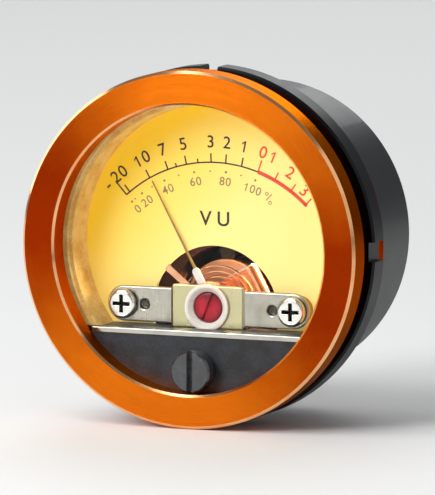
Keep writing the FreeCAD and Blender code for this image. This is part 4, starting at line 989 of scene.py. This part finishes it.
def bevelled(piece: bpy.types.Object, width: float, clamp: bool = True) -> bpy.types.Object:
    """Round the sharp edges of an object, and keep its flats flat.

    Args:
        piece: The object.
        width: Width of the rounding, in millimetres.
        clamp: Whether narrow places hold the width down everywhere.

    Returns:
        The same object.
    """
    smooth(piece)
    modifier = piece.modifiers.new("edges", "BEVEL")
    modifier.width = width * MM
    modifier.segments = EDGE_FACES
    modifier.limit_method = "ANGLE"
    modifier.angle_limit = math.radians(SHARP_EDGE)
    modifier.harden_normals = True
    modifier.use_clamp_overlap = clamp
    return freeze(piece)


class Trim(NamedTuple):
    """How a node that keeps its shape is finished: its new edges are in millimetres."""

    node: str
    finish: Finish
    slot: str
    edge: float
    clamp: bool = True


def refined(trim: Trim) -> bpy.types.Object:
    """Copy a node with its triangles merged into flat faces and its edges rounded."""
    work = bmesh.new()
    work.from_mesh(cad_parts[trim.node].data)
    bmesh.ops.remove_doubles(work, verts=work.verts, dist=NODE_WELD * MM)
    bmesh.ops.dissolve_limit(work, angle_limit=math.radians(FLAT_ENOUGH), verts=work.verts,
                             edges=work.edges)
    mesh = as_mesh(work, trim.node)
    if "custom_normal" in mesh.attributes:
        mesh.attributes.remove(mesh.attributes["custom_normal"])
    mesh.materials.clear()
    mesh.materials.append(trim.finish.material())
    mesh.polygons.foreach_set("material_index", [0] * len(mesh.polygons))
    return bevelled(new_object(f"{trim.node}_finished", mesh), trim.edge, trim.clamp)


def install(piece: bpy.types.Object, body: Body, slot: str, *nodes: str) -> None:
    """Make a piece ride on a body and stand for its nodes, which are hidden."""
    if nodes:
        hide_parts(*nodes)
    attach(piece, body.value)
    log.info("piece %s on %s, %d faces", piece.name, body.value, len(piece.data.polygons))


def refine(body: Body, *trims: Trim) -> None:
    """Finish nodes of one body that keep their shapes."""
    for trim in trims:
        install(refined(trim), body, trim.slot, trim.node)


def dress(node: str, finish: Finish) -> None:
    """Give a node that keeps its own shape a finish."""
    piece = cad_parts[node]
    for slot in piece.material_slots:
        slot.material = finish.material()
    log.info("node %s dressed in %s", node, finish.name)


# --- Bezel and clamp nut ------------------------------------------------------


@dataclass
class Bezel:
    """Turned orange ring: flange with a grooved face, polished bevels, and a threaded spigot."""

    opening: float = 16.2
    register: float = 2.0
    relief: float = 0.5
    relief_depth: float = 0.4
    seat: float = 1.4
    wall: float = 1.2
    outer_bevel: float = 0.3
    inner_bevel: float = 0.25
    lip: float = -0.3
    groove_front: float = 7.6
    groove_back: float = 8.2
    groove_depth: float = 0.6
    face_pitch: float = 0.1
    face_cut: float = 0.009
    side_pitch: float = 0.26
    side_cut: float = 0.012
    thread_pitch: float = 0.75
    thread_depth: float = 0.4
    thread_chamfer: float = 0.1
    edge: float = 0.05
    crease: float = 28.0
    steps: int = 256

    def build(self) -> None:
        """Build the ring and put it in the place of its node."""
        box = span("bezel_ring")
        outside, face, end = box.half_width, box.front, box.back
        rim, shoulder = outside - self.outer_bevel, face + self.outer_bevel
        mouth, throat = self.opening + self.inner_bevel, face + self.inner_bevel
        spigot = outside - self.seat
        relief, bore = spigot - self.relief_depth, spigot - self.wall
        start, stop = self.register + self.relief, end - self.thread_chamfer
        groove = bore + self.groove_depth
        side = grooved(shoulder, -self.edge, outside, self.side_pitch, -self.side_cut)

        shape = Shape("bezel", ORANGE, POLISHED_EDGE, steps=self.steps)
        shape.turn(grooved(mouth, rim, face, self.face_pitch, self.face_cut))
        shape.turn([(rim, face), (outside, shoulder)], finish=1)
        shape.turn([(radius, along) for along, radius in side])
        shape.turn([
            (outside, -self.edge), (outside - self.edge, 0.0), (spigot, 0.0),
            (spigot, self.register), (relief, self.register), (relief, start), (spigot, start),
        ])
        shape.screw(Thread(spigot, self.thread_depth, self.thread_pitch, start, stop))
        shape.turn([
            (spigot, stop), (spigot - self.thread_chamfer, end), (bore, end),
            (bore, self.groove_back), (groove, self.groove_back), (groove, self.groove_front),
            (bore, self.groove_front), (bore, self.lip), (self.opening, self.lip),
            (self.opening, throat),
        ])
        shape.turn([(self.opening, throat), (mouth, face)], finish=1)
        install(shape.piece(crease=self.crease), Body.METER, "anodised_orange", "bezel_ring")


@dataclass
class ClampNut:
    """Black ring nut with an inside thread, a turned face and four spanner notches."""

    wall: float = 1.35
    bevel: float = 0.25
    thread_pitch: float = 0.75
    thread_depth: float = 0.35
    thread_chamfer: float = 0.1
    notches: int = 4
    notch_width: float = 2.2
    notch_depth: float = 0.7
    cutter_margin: float = 1.0

    def build(self) -> None:
        """Build the nut and put it in the place of its node."""
        box = span("clamp_nut")
        outside, front, back = box.half_width, box.front, box.back
        rim, bore = outside - self.bevel, outside - self.wall
        mouth = bore + self.thread_chamfer
        start, stop = front + self.thread_chamfer, back - self.thread_chamfer
        shape = Shape("clamp_nut_ring", BLACK_ANODISED)
        shape.screw(Thread(bore, self.thread_depth, self.thread_pitch, start, stop, inside=True))
        shape.turn([(bore, start), (mouth, front), (rim, front), (outside, front + self.bevel),
                    (outside, back - self.bevel), (rim, back), (mouth, back), (bore, stop)])

        cutter = Shape("notch_cutter")
        side, margin = self.notch_width / 2, self.cutter_margin
        low, high = outside - self.notch_depth, outside + margin
        corners = [(-side, low), (side, low), (side, high), (-side, high)]
        for k in range(self.notches):
            turned = Matrix.Rotation(math.tau * k / self.notches, 2)
            cutter.prism([turned @ Vector(corner) for corner in corners], front - margin,
                         back + margin)
        nut = carved(shape.piece(), cutter.piece())
        install(smooth(nut), Body.NUT, "anodised_black", "clamp_nut")


def carved(piece: bpy.types.Object, cutter: bpy.types.Object) -> bpy.types.Object:
    """Cut one object out of another and delete the cutter."""
    modifier = piece.modifiers.new("cut", "BOOLEAN")
    modifier.operation = "DIFFERENCE"
    modifier.solver = "EXACT"
    modifier.object = cutter
    freeze(piece)
    bpy.data.objects.remove(cutter)
    return piece


# --- Window, skirt and zero screw ---------------------------------------------


class Front:
    """What closes the opening: clear window, black skirt, its bright strip and the zero screw."""

    skirt = (
        Trim("skirt", BLACK_MOULDING, "black_moulding", 0.12),
        Trim("skirt_trim", BRIGHT, "bright_strip", 0.08),
    )
    screw = Trim("zero_screw", BLACK_GLOSS, "black_screw", 0.14)

    def build(self) -> None:
        """Build the pieces."""
        dress("window", CLEAR)
        refine(Body.METER, *self.skirt)
        refine(Body.SCREW, self.screw)


# --- Dial ---------------------------------------------------------------------


@dataclass
class Scale:
    """The dial's law: slow at the start, as its rectifier is, and closing up near the end."""

    start: float = -41.9
    end: float = 42.9
    top_level: float = 3.0
    bend: float = 1.7
    knee: float = 1.4

    def _share(self, voltage: float) -> float:
        """Share of the swing that a voltage gives, before it is set to the scale's end."""
        return voltage ** self.bend / (self.knee ** self.bend + voltage ** self.bend)

    def voltage(self, voltage: float) -> float:
        """Angle of a voltage, where 1 is the zero level."""
        top = self._share(10 ** (self.top_level / 20))
        return self.start + (self.end - self.start) * self._share(voltage) / top

    def level(self, level: float) -> float:
        """Angle of a level in volume units."""
        return self.voltage(10 ** (level / 20))


# Outline of a figure one with a flag, across and up, in shares of the type's size.
FIGURE_ONE = ((0.05, -0.33), (0.05, 0.33), (-0.02, 0.33), (-0.19, 0.18), (-0.19, 0.08),
              (-0.05, 0.2), (-0.05, -0.33))


@dataclass
class Print:
    """Ink on the dial, whose face is at "plane": arcs, ticks and figures, joined into one piece."""

    name: str
    finish: Finish
    plane: float
    thickness: float = 0.015
    advance: float = 0.56
    dot_sides: int = 20
    curve_steps: int = 6
    parts: list[bpy.types.Object] = field(default_factory=list)

    @property
    def top(self) -> float:
        """Place of the ink's own face along y."""
        return self.plane - self.thickness

    @property
    def middle(self) -> float:
        """Place along y of the middle of the ink."""
        return self.plane - self.thickness / 2

    def arc(self, radius: float, width: float, start: float, end: float) -> None:
        """Add an arc round the pointer axis."""
        shape = Shape(f"{self.name}_arc", self.finish)
        shape.band((radius - width / 2, radius + width / 2), (start, end), self.top, self.plane)
        self.parts.append(shape.piece())

    def dot(self, radius: float, angle: float, size: float) -> None:
        """Add a round dot at a radius and an angle off vertical."""
        shape = Shape(f"{self.name}_dot", self.finish, steps=self.dot_sides)
        shape.turn([(0, self.top), (size, self.top), (size, self.plane), (0, self.plane)],
                   polar(PIVOT, radius, math.radians(angle)))
        self.parts.append(shape.piece())

    def ticks(self, marks: Sequence[tuple[float, float, float, float]]) -> None:
        """Add ticks.

        Args:
            marks: Angle, inner radius, length and width of each.
        """
        name = f"{self.name}_ticks"
        base = points_with(name, [(0, 0, 0)] * len(marks),
                           turn=[math.radians(angle) for angle, _, _, _ in marks],
                           reach=[(inner + length / 2) * MM for _, inner, length, _ in marks],
                           length=[length * MM for _, _, length, _ in marks],
                           width=[width * MM for _, _, _, width in marks])
        graph = Graph("ticks")
        turn, reach, length, width = map(graph.attribute, ("turn", "reach", "length", "width"))
        across, up = (graph.value("ShaderNodeMath", {0: turn}, operation=kind)
                      for kind in ("SINE", "COSINE"))
        axis_x = graph.size("Axis across", PIVOT[0] * MM)
        axis_z = graph.size("Axis up", PIVOT[1] * MM)
        plane = graph.size("Plane", self.middle * MM)
        thick = graph.size("Thickness", self.thickness * MM)
        placed = graph.node("GeometryNodeSetPosition", {
            "Geometry": graph.geometry,
            "Position": graph.vector(across * reach + axis_x, plane, up * reach + axis_z)})
        bar = graph.node("GeometryNodeMeshCube", {"Size": (1, 1, 1)})
        ticks = graph.node("GeometryNodeInstanceOnPoints", {
            "Points": placed.outputs[0], "Instance": bar.outputs[0],
            "Rotation": graph.vector(back=turn), "Scale": graph.vector(width, thick, length)})
        self.parts.append(graph.run(base, ticks.outputs[0], self.finish.material()))

    def number(self, digits: str, radius: float, angle: float, size: float) -> None:
        """Add a number that stands upright on a radius of the pointer axis.

        Args:
            digits: Its digits.
            radius: Distance of its middle from the axis.
            angle: Angle off vertical.
            size: Size of the type.
        """
        for place, digit in enumerate(digits):
            shift = (place - (len(digits) - 1) / 2) * self.advance * size
            if digit == "1":
                self.one(radius, angle, size, shift)
            else:
                self.text(digit, radius, angle, size, shift=shift)

    def percent(self, radius: float, angle: float, size: float) -> None:
        """Add a percent sign: a stroke between two small rings, up left and down right."""
        ring_size, across, up = 0.62 * size, 0.3 * size, 0.26 * size
        self.text("/", radius, angle, size)
        for side in (-1, 1):
            self.text("o", radius - side * up, angle, ring_size, shift=side * across)

    def one(self, radius: float, angle: float, size: float, shift: float) -> None:
        """Add a figure one with a flag, shifted sideways from a radius of the pointer axis."""
        across, along = math.cos(math.radians(angle)), math.sin(math.radians(angle))
        placed = [(shift + x * size, radius + up * size) for x, up in FIGURE_ONE]
        outline = [(PIVOT[0] + x * across + up * along, PIVOT[1] - x * along + up * across)
                   for x, up in placed]
        shape = Shape(f"{self.name}_one", self.finish)
        self.parts.append(shape.prism(outline, self.top, self.plane).piece())

    def text(self, words: str, radius: float, angle: float, size: float, weight: float = 0.015,
             centre: Point = PIVOT, shift: float = 0.0) -> None:
        """Add signs that stand upright on a radius.

        Args:
            words: What to print.
            radius: Distance of their middle from the centre.
            angle: Angle off vertical.
            size: Size of the type.
            weight: How far the strokes are thickened.
            centre: Centre that the radius starts from.
            shift: How far they stand to the right of the radius.
        """
        curve = bpy.data.curves.new(f"{self.name}_text", "FONT")
        curve.body = words
        curve.size = size
        curve.align_x = "CENTER"
        curve.align_y = "CENTER"
        curve.extrude = self.thickness / 2
        curve.offset = weight
        curve.resolution_u = self.curve_steps
        holder = new_object(curve.name, curve)
        mesh = bpy.data.meshes.new_from_object(
            holder.evaluated_get(bpy.context.evaluated_depsgraph_get()))
        bpy.data.objects.remove(holder)
        stand = Matrix.Rotation(math.radians(90), 4, "X")
        lift = Matrix.Translation((shift, self.middle, radius))
        turn = Matrix.Rotation(math.radians(angle), 4, "Y")
        place = Matrix.Translation((centre[0], 0, centre[1])) @ turn
        mesh.transform(Matrix.Scale(MM, 4) @ place @ lift @ stand)
        mesh.materials.clear()
        mesh.materials.append(self.finish.material())
        self.parts.append(new_object(f"{self.name}_words", mesh))

    def finish_print(self) -> None:
        """Join everything in this ink into one piece."""
        piece = joined(self.name, self.parts, merge=WELD)
        install(smooth(piece, angle=20), Body.METER, "dial_print")


@dataclass
class Dial:
    """Lit dial with its print, the cream reflector in front and the diffuser behind."""

    arc_radius: float = 16.05
    figure_radius: float = 18.3
    draw_in: float = 0.98
    minus_gap: float = 3.2
    lean: float = 4.0
    fall: float = 0.6
    percent_radius: float = 13.95
    dot_radius: float = 15.05
    figure_size: float = 1.95
    percent_size: float = 1.35
    tall: float = 1.0
    short: float = 0.45
    end_tick: float = 2.0
    tick_width: float = 0.17
    black_arc: float = 0.17
    red_arc: float = 0.42
    zero_stretch: float = 1.4
    percent_lead: float = 8.8
    bold_dot: float = 0.14
    fine_dot: float = 0.1
    unit_height: float = 2.6
    unit_size: float = 2.3
    unit_weight: float = 0.03
    reflector = Trim("reflector_ring", CREAM, "cream_moulding", 0.06)

    def build(self) -> None:
        """Build the dial and its neighbours."""
        dress("dial_plate", DIAL)
        dress("diffuser", OPAL)
        refine(Body.METER, self.reflector)
        self.build_print()

    def build_print(self) -> None:
        """Build the two scales and the unit mark."""
        plane = span("dial_plate").front
        scale = Scale()
        zero, end = scale.level(0), scale.level(scale.top_level)
        black = Print("print_black", BLACK_INK, plane)
        red = Print("print_red", RED_INK, plane)
        grey = Print("print_grey", GREY_INK, plane)

        base = self.arc_radius
        black.arc(base, self.black_arc, scale.start, zero)
        red.arc(base, self.red_arc, zero, end)
        red.dot(base, end, self.red_arc / 2)
        levels = {level: self.tall for level in (-20, -10, -7, -5, -3, -2, -1)}
        levels |= {level: self.short for level in (-6, -4)}
        black.ticks([(scale.level(level), base, length, self.tick_width)
                     for level, length in levels.items()]
                    + [(scale.start, base, self.end_tick, self.tick_width)])
        red.ticks([(zero, base, self.tall * self.zero_stretch, self.tick_width)]
                  + [(scale.level(level), base, self.tall, self.tick_width) for level in (1, 2, 3)])
        for level in (20, 10, 7, 5, 3, 2, 1):
            black.number(str(level), self.figure_radius, scale.level(-level) * self.draw_in,
                         self.figure_size)
        black.text("-", self.figure_radius, scale.start - self.minus_gap, self.figure_size)
        red.number("0", self.figure_radius, zero * self.draw_in, self.figure_size)
        for level in (1, 2, 3):
            red.number(str(level), self.figure_radius - self.fall * (level - 1),
                       scale.level(level) - self.lean, self.figure_size)

        for share in (0, 20, 40, 60, 80, 100):
            grey.number(str(share), self.percent_radius, scale.voltage(share / 100),
                        self.percent_size)
        grey.percent(self.percent_radius, scale.voltage(1.0) + self.percent_lead, self.percent_size)
        for share in range(0, 101, 10):
            grey.dot(self.dot_radius, scale.voltage(share / 100),
                     self.fine_dot if share % 20 else self.bold_dot)
        black.text("V U", self.unit_height, 0, self.unit_size, self.unit_weight, centre=(0, 0))
        for ink in (black, red, grey):
            ink.finish_print()


# --- Movement -----------------------------------------------------------------


class Bridge:
    """Front bridge with its screws and pillars, the white collar and the red jewel screw."""

    trims = (
        Trim("front_bridge", NICKEL, "nickel_bar", 0.2, clamp=False),
        Trim("bridge_screws", SCREW_STEEL, "steel_screw", 0.05),
        Trim("bridge_pillars", BRASS, "brass_part", 0.06),
        Trim("jewel_collar", WHITE_NYLON, "white_nylon", 0.12),
        Trim("front_jewel_screw", RED_JEWEL, "red_jewel", 0.1),
    )

    def build(self) -> None:
        """Build the pieces."""
        refine(Body.METER, *self.trims)


@dataclass
class Rotor:
    """What swings with the pointer.

    The coil has layers of wire round a frame, whose inside is twice "inner_half" wide. Its block
    stays inside its outer wires by the share "tuck" of a wire.
    """

    wire: float = 0.09
    layers: int = 5
    frame_width: float = 4.4
    inner_half: float = 5.14
    corner: float = 0.75
    corner_steps: int = 7
    tuck: float = 0.6
    sides: int = 6
    trims = (
        Trim("pointer", POINTER_PAINT, "pointer_paint", 0.02),
        Trim("pointer_cross", WHITE_PAINT, "white_paint", 0.04),
        Trim("balance_weights", BRASS, "brass_part", 0.05),
        Trim("pivot_pins", STEEL, "steel_screw", 0.03),
        Trim("coil_frame", ALUMINIUM, "bare_aluminium", 0.03),
        Trim("rear_collet", BRASS, "brass_part", 0.04),
    )

    def build(self) -> None:
        """Build the pieces."""
        refine(Body.POINTER, *self.trims)
        box = span("coil_winding")
        coil = joined("coil", [self.wires(box.back - box.front), self.block(box.back - box.front)])
        middle = (box.front + box.back) / 2
        coil.data.transform(AT_REST @ Matrix.Translation((0, middle * MM, 0)))
        install(smooth(coil, angle=60), Body.POINTER, "copper_wire", "coil_winding")

    def wires(self, depth: float) -> bpy.types.Object:
        """Wind the outer layer and both ends of the coil turn by turn.

        Args:
            depth: Length of the coil along y.

        Returns:
            The wires, round the middle of the coil.
        """
        turns = round(self.frame_width / self.wire)
        middle = turns * self.wire / 2
        ends = (0.5 * self.wire, (turns - 0.5) * self.wire)
        loops = [(0.0, (k + 0.5) * self.wire) for k in range(turns)]
        loops += [(layer * self.wire, up) for layer in range(1, self.layers) for up in ends]
        base = points_with("coil_turns", [(0, 0, (up - middle) * MM) for _, up in loops],
                           inset=[inset * MM for inset, _ in loops])
        stack = self.wire * self.layers
        graph = Graph("coil_turns")
        wide = graph.size("Width", 2 * (self.inner_half + stack - self.wire / 2) * MM)
        deep = graph.size("Depth", (depth - self.wire) * MM)
        inset = graph.attribute("inset")
        loop = graph.node("GeometryNodeCurvePrimitiveQuadrilateral", {"Width": 1.0, "Height": 1.0})
        placed = graph.node("GeometryNodeInstanceOnPoints", {
            "Points": graph.geometry, "Instance": loop.outputs[0],
            "Scale": graph.vector(wide - inset * 2, deep - inset * 2, 1.0)})
        curves = graph.node("GeometryNodeRealizeInstances", {"Geometry": placed.outputs[0]})
        round_loop = graph.node("GeometryNodeFilletCurve", {
            "Curve": curves.outputs[0], "Count": self.corner_steps,
            "Radius": graph.size("Corner", (self.corner + stack) * MM)}, mode="POLY")
        section = graph.node("GeometryNodeCurvePrimitiveCircle", {
            "Radius": graph.size("Wire radius", self.wire / 2 * MM),
            "Resolution": graph.size("Wire sides", self.sides, whole=True)})
        wires = graph.node("GeometryNodeCurveToMesh", {
            "Curve": round_loop.outputs[0], "Profile Curve": section.outputs[0]})
        return graph.run(base, wires.outputs[0], COPPER.material())

    def block(self, depth: float) -> bpy.types.Object:
        """Make the body of the coil, tucked in behind the middles of its outer wires.

        Args:
            depth: Length of the coil along y.

        Returns:
            The block, round the middle of the coil.
        """
        tuck = self.wire * self.tuck
        core = self.wire * (self.layers - self.tuck)
        top, back = self.frame_width / 2 - tuck, depth / 2 - tuck
        outer = rounded_box(self.inner_half + core, back, self.corner + core, self.corner_steps)
        inner = rounded_box(self.inner_half, back - core, self.corner, self.corner_steps)
        shape = Shape("coil_block", COPPER)
        shape.skin([shape.add((x, y, up) for x, y in line)
                    for line, up in ((outer, -top), (outer, top), (inner, top), (inner, -top),
                                     (outer, -top))])
        return shape.piece()


@dataclass
class Hairspring:
    """A flat bronze strip wound in a spiral, from its outer end to its inner one.

    Both ends have a place along y, which is the front edge of the strip there. "steps" is the
    number of points in a turn.
    """

    node: str
    start_angle: float
    outer_place: float
    inner_place: float
    outer: float = 4.89
    inner: float = 0.86
    turns: float = 6.5
    thickness: float = 0.1
    width: float = 0.45
    steps: int = 40

    def build(self) -> bpy.types.Object:
        """Wind the spring and put it in the place of its node."""
        graph = Graph("hairspring")
        spiral = graph.node("GeometryNodeCurveSpiral", {
            "Resolution": graph.size("Points per turn", self.steps, whole=True),
            "Rotations": graph.size("Turns", self.turns),
            "Start Radius": graph.size("Outer radius", self.outer * MM),
            "End Radius": graph.size("Inner radius", self.inner * MM),
            "Height": graph.size("Rise", (self.inner_place - self.outer_place) * MM),
        })
        upright = graph.node("GeometryNodeSetCurveNormal", {"Curve": spiral.outputs[0]},
                             mode="Z_UP")
        strip = graph.node("GeometryNodeCurvePrimitiveQuadrilateral", {
            "Width": graph.size("Thickness", self.thickness * MM),
            "Height": graph.size("Width", self.width * MM)})
        swept = graph.node("GeometryNodeCurveToMesh", {
            "Curve": upright.outputs[0], "Profile Curve": strip.outputs[0], "Fill Caps": True})
        base = new_object(f"{self.node}_strip", bpy.data.meshes.new(self.node))
        piece = graph.run(base, swept.outputs[0], BRONZE.material())
        stand = Matrix(((0, 1, 0, 0), (0, 0, 1, 0), (1, 0, 0, 0), (0, 0, 0, 1)))
        place = Matrix.Translation((0, (self.outer_place + self.width / 2) * MM, 0))
        turned = Matrix.Rotation(math.radians(self.start_angle), 4, "Y")
        piece.data.transform(ON_PIVOT @ place @ turned @ stand)
        return smooth(piece, angle=50)


@dataclass
class Movement:
    """Zero lever, hairsprings, magnet system, movement frame and rear bridge."""

    finger_angle: float = -51.5
    rear_angle: float = 82.0
    lever = Trim("zero_lever", BRONZE, "bronze_strip", 0.05)
    trims = (
        Trim("core_magnet", MAGNET, "magnet", 0.15),
        Trim("core_spacers", BLACK_FRAME, "black_frame", 0.05),
        Trim("yoke_ring", IRON_IN_PAINTED_SHADE, "soft_iron", 0.2),
        Trim("yoke_screws", STEEL, "steel_screw", 0.05),
        Trim("movement_frame", BLACK_FRAME, "black_frame", 0.12),
        Trim("rear_bridge", BRASS, "brass_part", 0.1),
        Trim("rear_bridge_screws", STEEL, "steel_screw", 0.05),
        Trim("rear_jewel_screw", BRASS, "brass_part", 0.05),
        Trim("rear_jewel_nut", BRASS, "brass_part", 0.08),
    )

    def build(self) -> None:
        """Build the pieces."""
        refine(Body.LEVER, self.lever)
        self.build_springs()
        refine(Body.METER, *self.trims)

    def build_springs(self) -> None:
        """Wind both hairsprings. The front one is left where it is wound, on no body."""
        width = Hairspring.width
        front, rear = span("front_hairspring"), span("rear_hairspring")
        spring = Hairspring("front_hairspring", self.finger_angle, front.front, front.back - width)
        piece = spring.build()
        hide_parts("front_hairspring")
        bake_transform(piece)
        log.info("piece %s bends between lever and pointer", piece.name)
        spring = Hairspring("rear_hairspring", self.rear_angle, rear.back - width, rear.front)
        install(spring.build(), Body.METER, "bronze_strip", "rear_hairspring")


# --- Lamps, case and terminals ------------------------------------------------


class Lamps:
    """White circuit board with three lit diodes, its screws and the two pins."""

    trims = (
        Trim("lamp_board", BOARD, "circuit_board", 0.05),
        Trim("lamp_leds", LED, "led_package", 0.05),
        Trim("lamp_screws", STEEL, "steel_screw", 0.05),
        Trim("lamp_pins", BRASS, "brass_part", 0.05),
    )

    def build(self) -> None:
        """Build the pieces."""
        refine(Body.METER, *self.trims)


@dataclass
class Case:
    """Black can with its spring ring and the two terminals."""

    stud_radius: float = 1.5
    stud_bevel: float = 0.3
    stud_steps: int = 48
    thread_pitch: float = 0.5
    thread_depth: float = 0.25
    thread_start: float = 18.5
    trims = (
        Trim("case_body", BLACK_CASE, "black_case", 0.18),
        Trim("retaining_ring", DARK_STEEL, "spring_steel", 0.06),
        Trim("terminal_washers", STEEL, "steel_screw", 0.05),
        Trim("terminal_nuts", BRASS, "brass_part", 0.2),
        Trim("solder_tags", TINNED, "bright_strip", 0.06),
    )

    def build(self) -> None:
        """Build the pieces."""
        refine(Body.METER, *self.trims)
        install(self.studs(), Body.METER, "brass_part", "terminal_studs")

    def studs(self) -> bpy.types.Object:
        """Make the two threaded studs."""
        box = span("terminal_studs")
        radius, reach = self.stud_radius, box.right - self.stud_radius
        start, stop = self.thread_start, box.back - self.stud_bevel
        thread = Thread(radius, self.thread_depth, self.thread_pitch, start, stop)
        shape = Shape("threaded_studs", BRASS, steps=self.stud_steps)
        for side in (-reach, reach):
            axis = (side, box.centre[1])
            shape.turn([(0, box.front), (radius, box.front), (radius, start)], axis)
            shape.screw(thread, axis)
            shape.turn([(radius, stop), (radius - self.stud_bevel, box.back), (0, box.back)], axis)
        return shape.piece()


# --- Floor, light and camera --------------------------------------------------


def aimed(name: str, data: bpy.types.ID, place: Vector, ray: Vector) -> bpy.types.Object:
    """Put a light or a camera in its place, in metres, and point it along a ray."""
    holder = new_object(name, data)
    holder.location = place
    holder.rotation_euler = ray.to_track_quat("-Z", "Y").to_euler()
    return holder


@dataclass(frozen=True)
class SoftLight:
    """A square light of some power in watts that points at a target."""

    name: str
    size: float
    place: Sequence[float]
    power: float
    colour: Sequence[float] = (1, 1, 1)
    target: Sequence[float] = (0, 0, 0)

    def build(self) -> None:
        """Put the light into the scene."""
        lamp = bpy.data.lights.new(self.name, "AREA")
        lamp.shape = "SQUARE"
        lamp.size = self.size * MM
        lamp.energy = self.power
        lamp.color = self.colour
        place = Vector(self.place)
        aimed(self.name, lamp, place * MM, Vector(self.target) - place)


@dataclass
class Studio:
    """Pale floor, soft light and the camera."""

    azimuth: float = 22.68
    elevation: float = 6.89
    distance: float = 1256.0
    aim_across: float = 2.2
    lens: float = 822.0
    sensor: float = 36.0
    clip: Point = (50.0, 20000.0)
    floor_size: float = 3000.0
    floor_gap: float = 0.05
    world_colour: Colour = (0.9, 0.95, 1.0, 1.0)
    world_strength: float = 0.22
    lights = (
        SoftLight("key", 240, (-130, -180, 330), 0.72),
        SoftLight("front", 200, (-177, -417, 230), 1.5),
        SoftLight("left", 320, (-480, 60, 180), 0.6),
        SoftLight("fill", 500, (480, -420, 260), 0.45),
        SoftLight("back", 500, (-150, 520, 420), 1.5),
        SoftLight("glow", 6, (9.5, 9.0, 1.0), 0.03, (1.0, 0.74, 0.42), (2, 6.5, -4)),
    )

    def build(self) -> None:
        """Set up the floor, the lights and the camera."""
        self.build_floor()
        self.build_world()
        for light in self.lights:
            light.build()
        self.build_camera()
        bpy.context.scene.view_settings.view_transform = "Standard"

    def build_floor(self) -> None:
        """Lay the floor just under the rims of the ring and the nut."""
        low = span("bezel_ring").low - self.floor_gap
        half = self.floor_size / 2
        shape = Shape("floor", FLOOR_PAPER)
        shape.work.faces.new(shape.add((x * half, y * half, low)
                                       for x, y in ((-1, -1), (1, -1), (1, 1), (-1, 1))))
        floor = shape.piece()
        if floor.data.polygons[0].normal.z < 0:
            floor.data.flip_normals()

    def build_world(self) -> None:
        """Fill the surroundings with plain grey light."""
        world = bpy.data.worlds.new("studio")
        bpy.context.scene.world = world
        world.use_nodes = True
        background = world.node_tree.nodes["Background"]
        background.inputs["Color"].default_value = self.world_colour
        background.inputs["Strength"].default_value = self.world_strength

    def build_camera(self) -> None:
        """Set up the camera."""
        camera = bpy.data.cameras.new("camera")
        camera.lens = self.lens
        camera.sensor_width = self.sensor
        camera.clip_start, camera.clip_end = (distance * MM for distance in self.clip)
        turn, rise = math.radians(self.azimuth), math.radians(self.elevation)
        away = Vector((math.sin(turn) * math.cos(rise), -math.cos(turn) * math.cos(rise),
                       math.sin(rise)))
        target = Vector((math.cos(turn), math.sin(turn), 0)) * self.aim_across * MM
        place = target + away * self.distance * MM
        bpy.context.scene.camera = aimed("camera", camera, place, -away)


def main() -> None:
    """Build the sub-assemblies in order."""
    logging.basicConfig(level=logging.INFO, format="%(name)s: %(message)s")
    for assembly in (Studio(), Bezel(), ClampNut(), Front(), Dial(), Bridge(), Movement(), Rotor(),
                     Lamps(), Case()):
        log.info("building %s", type(assembly).__name__)
        assembly.build()


if __name__ == "__main__":
    main()
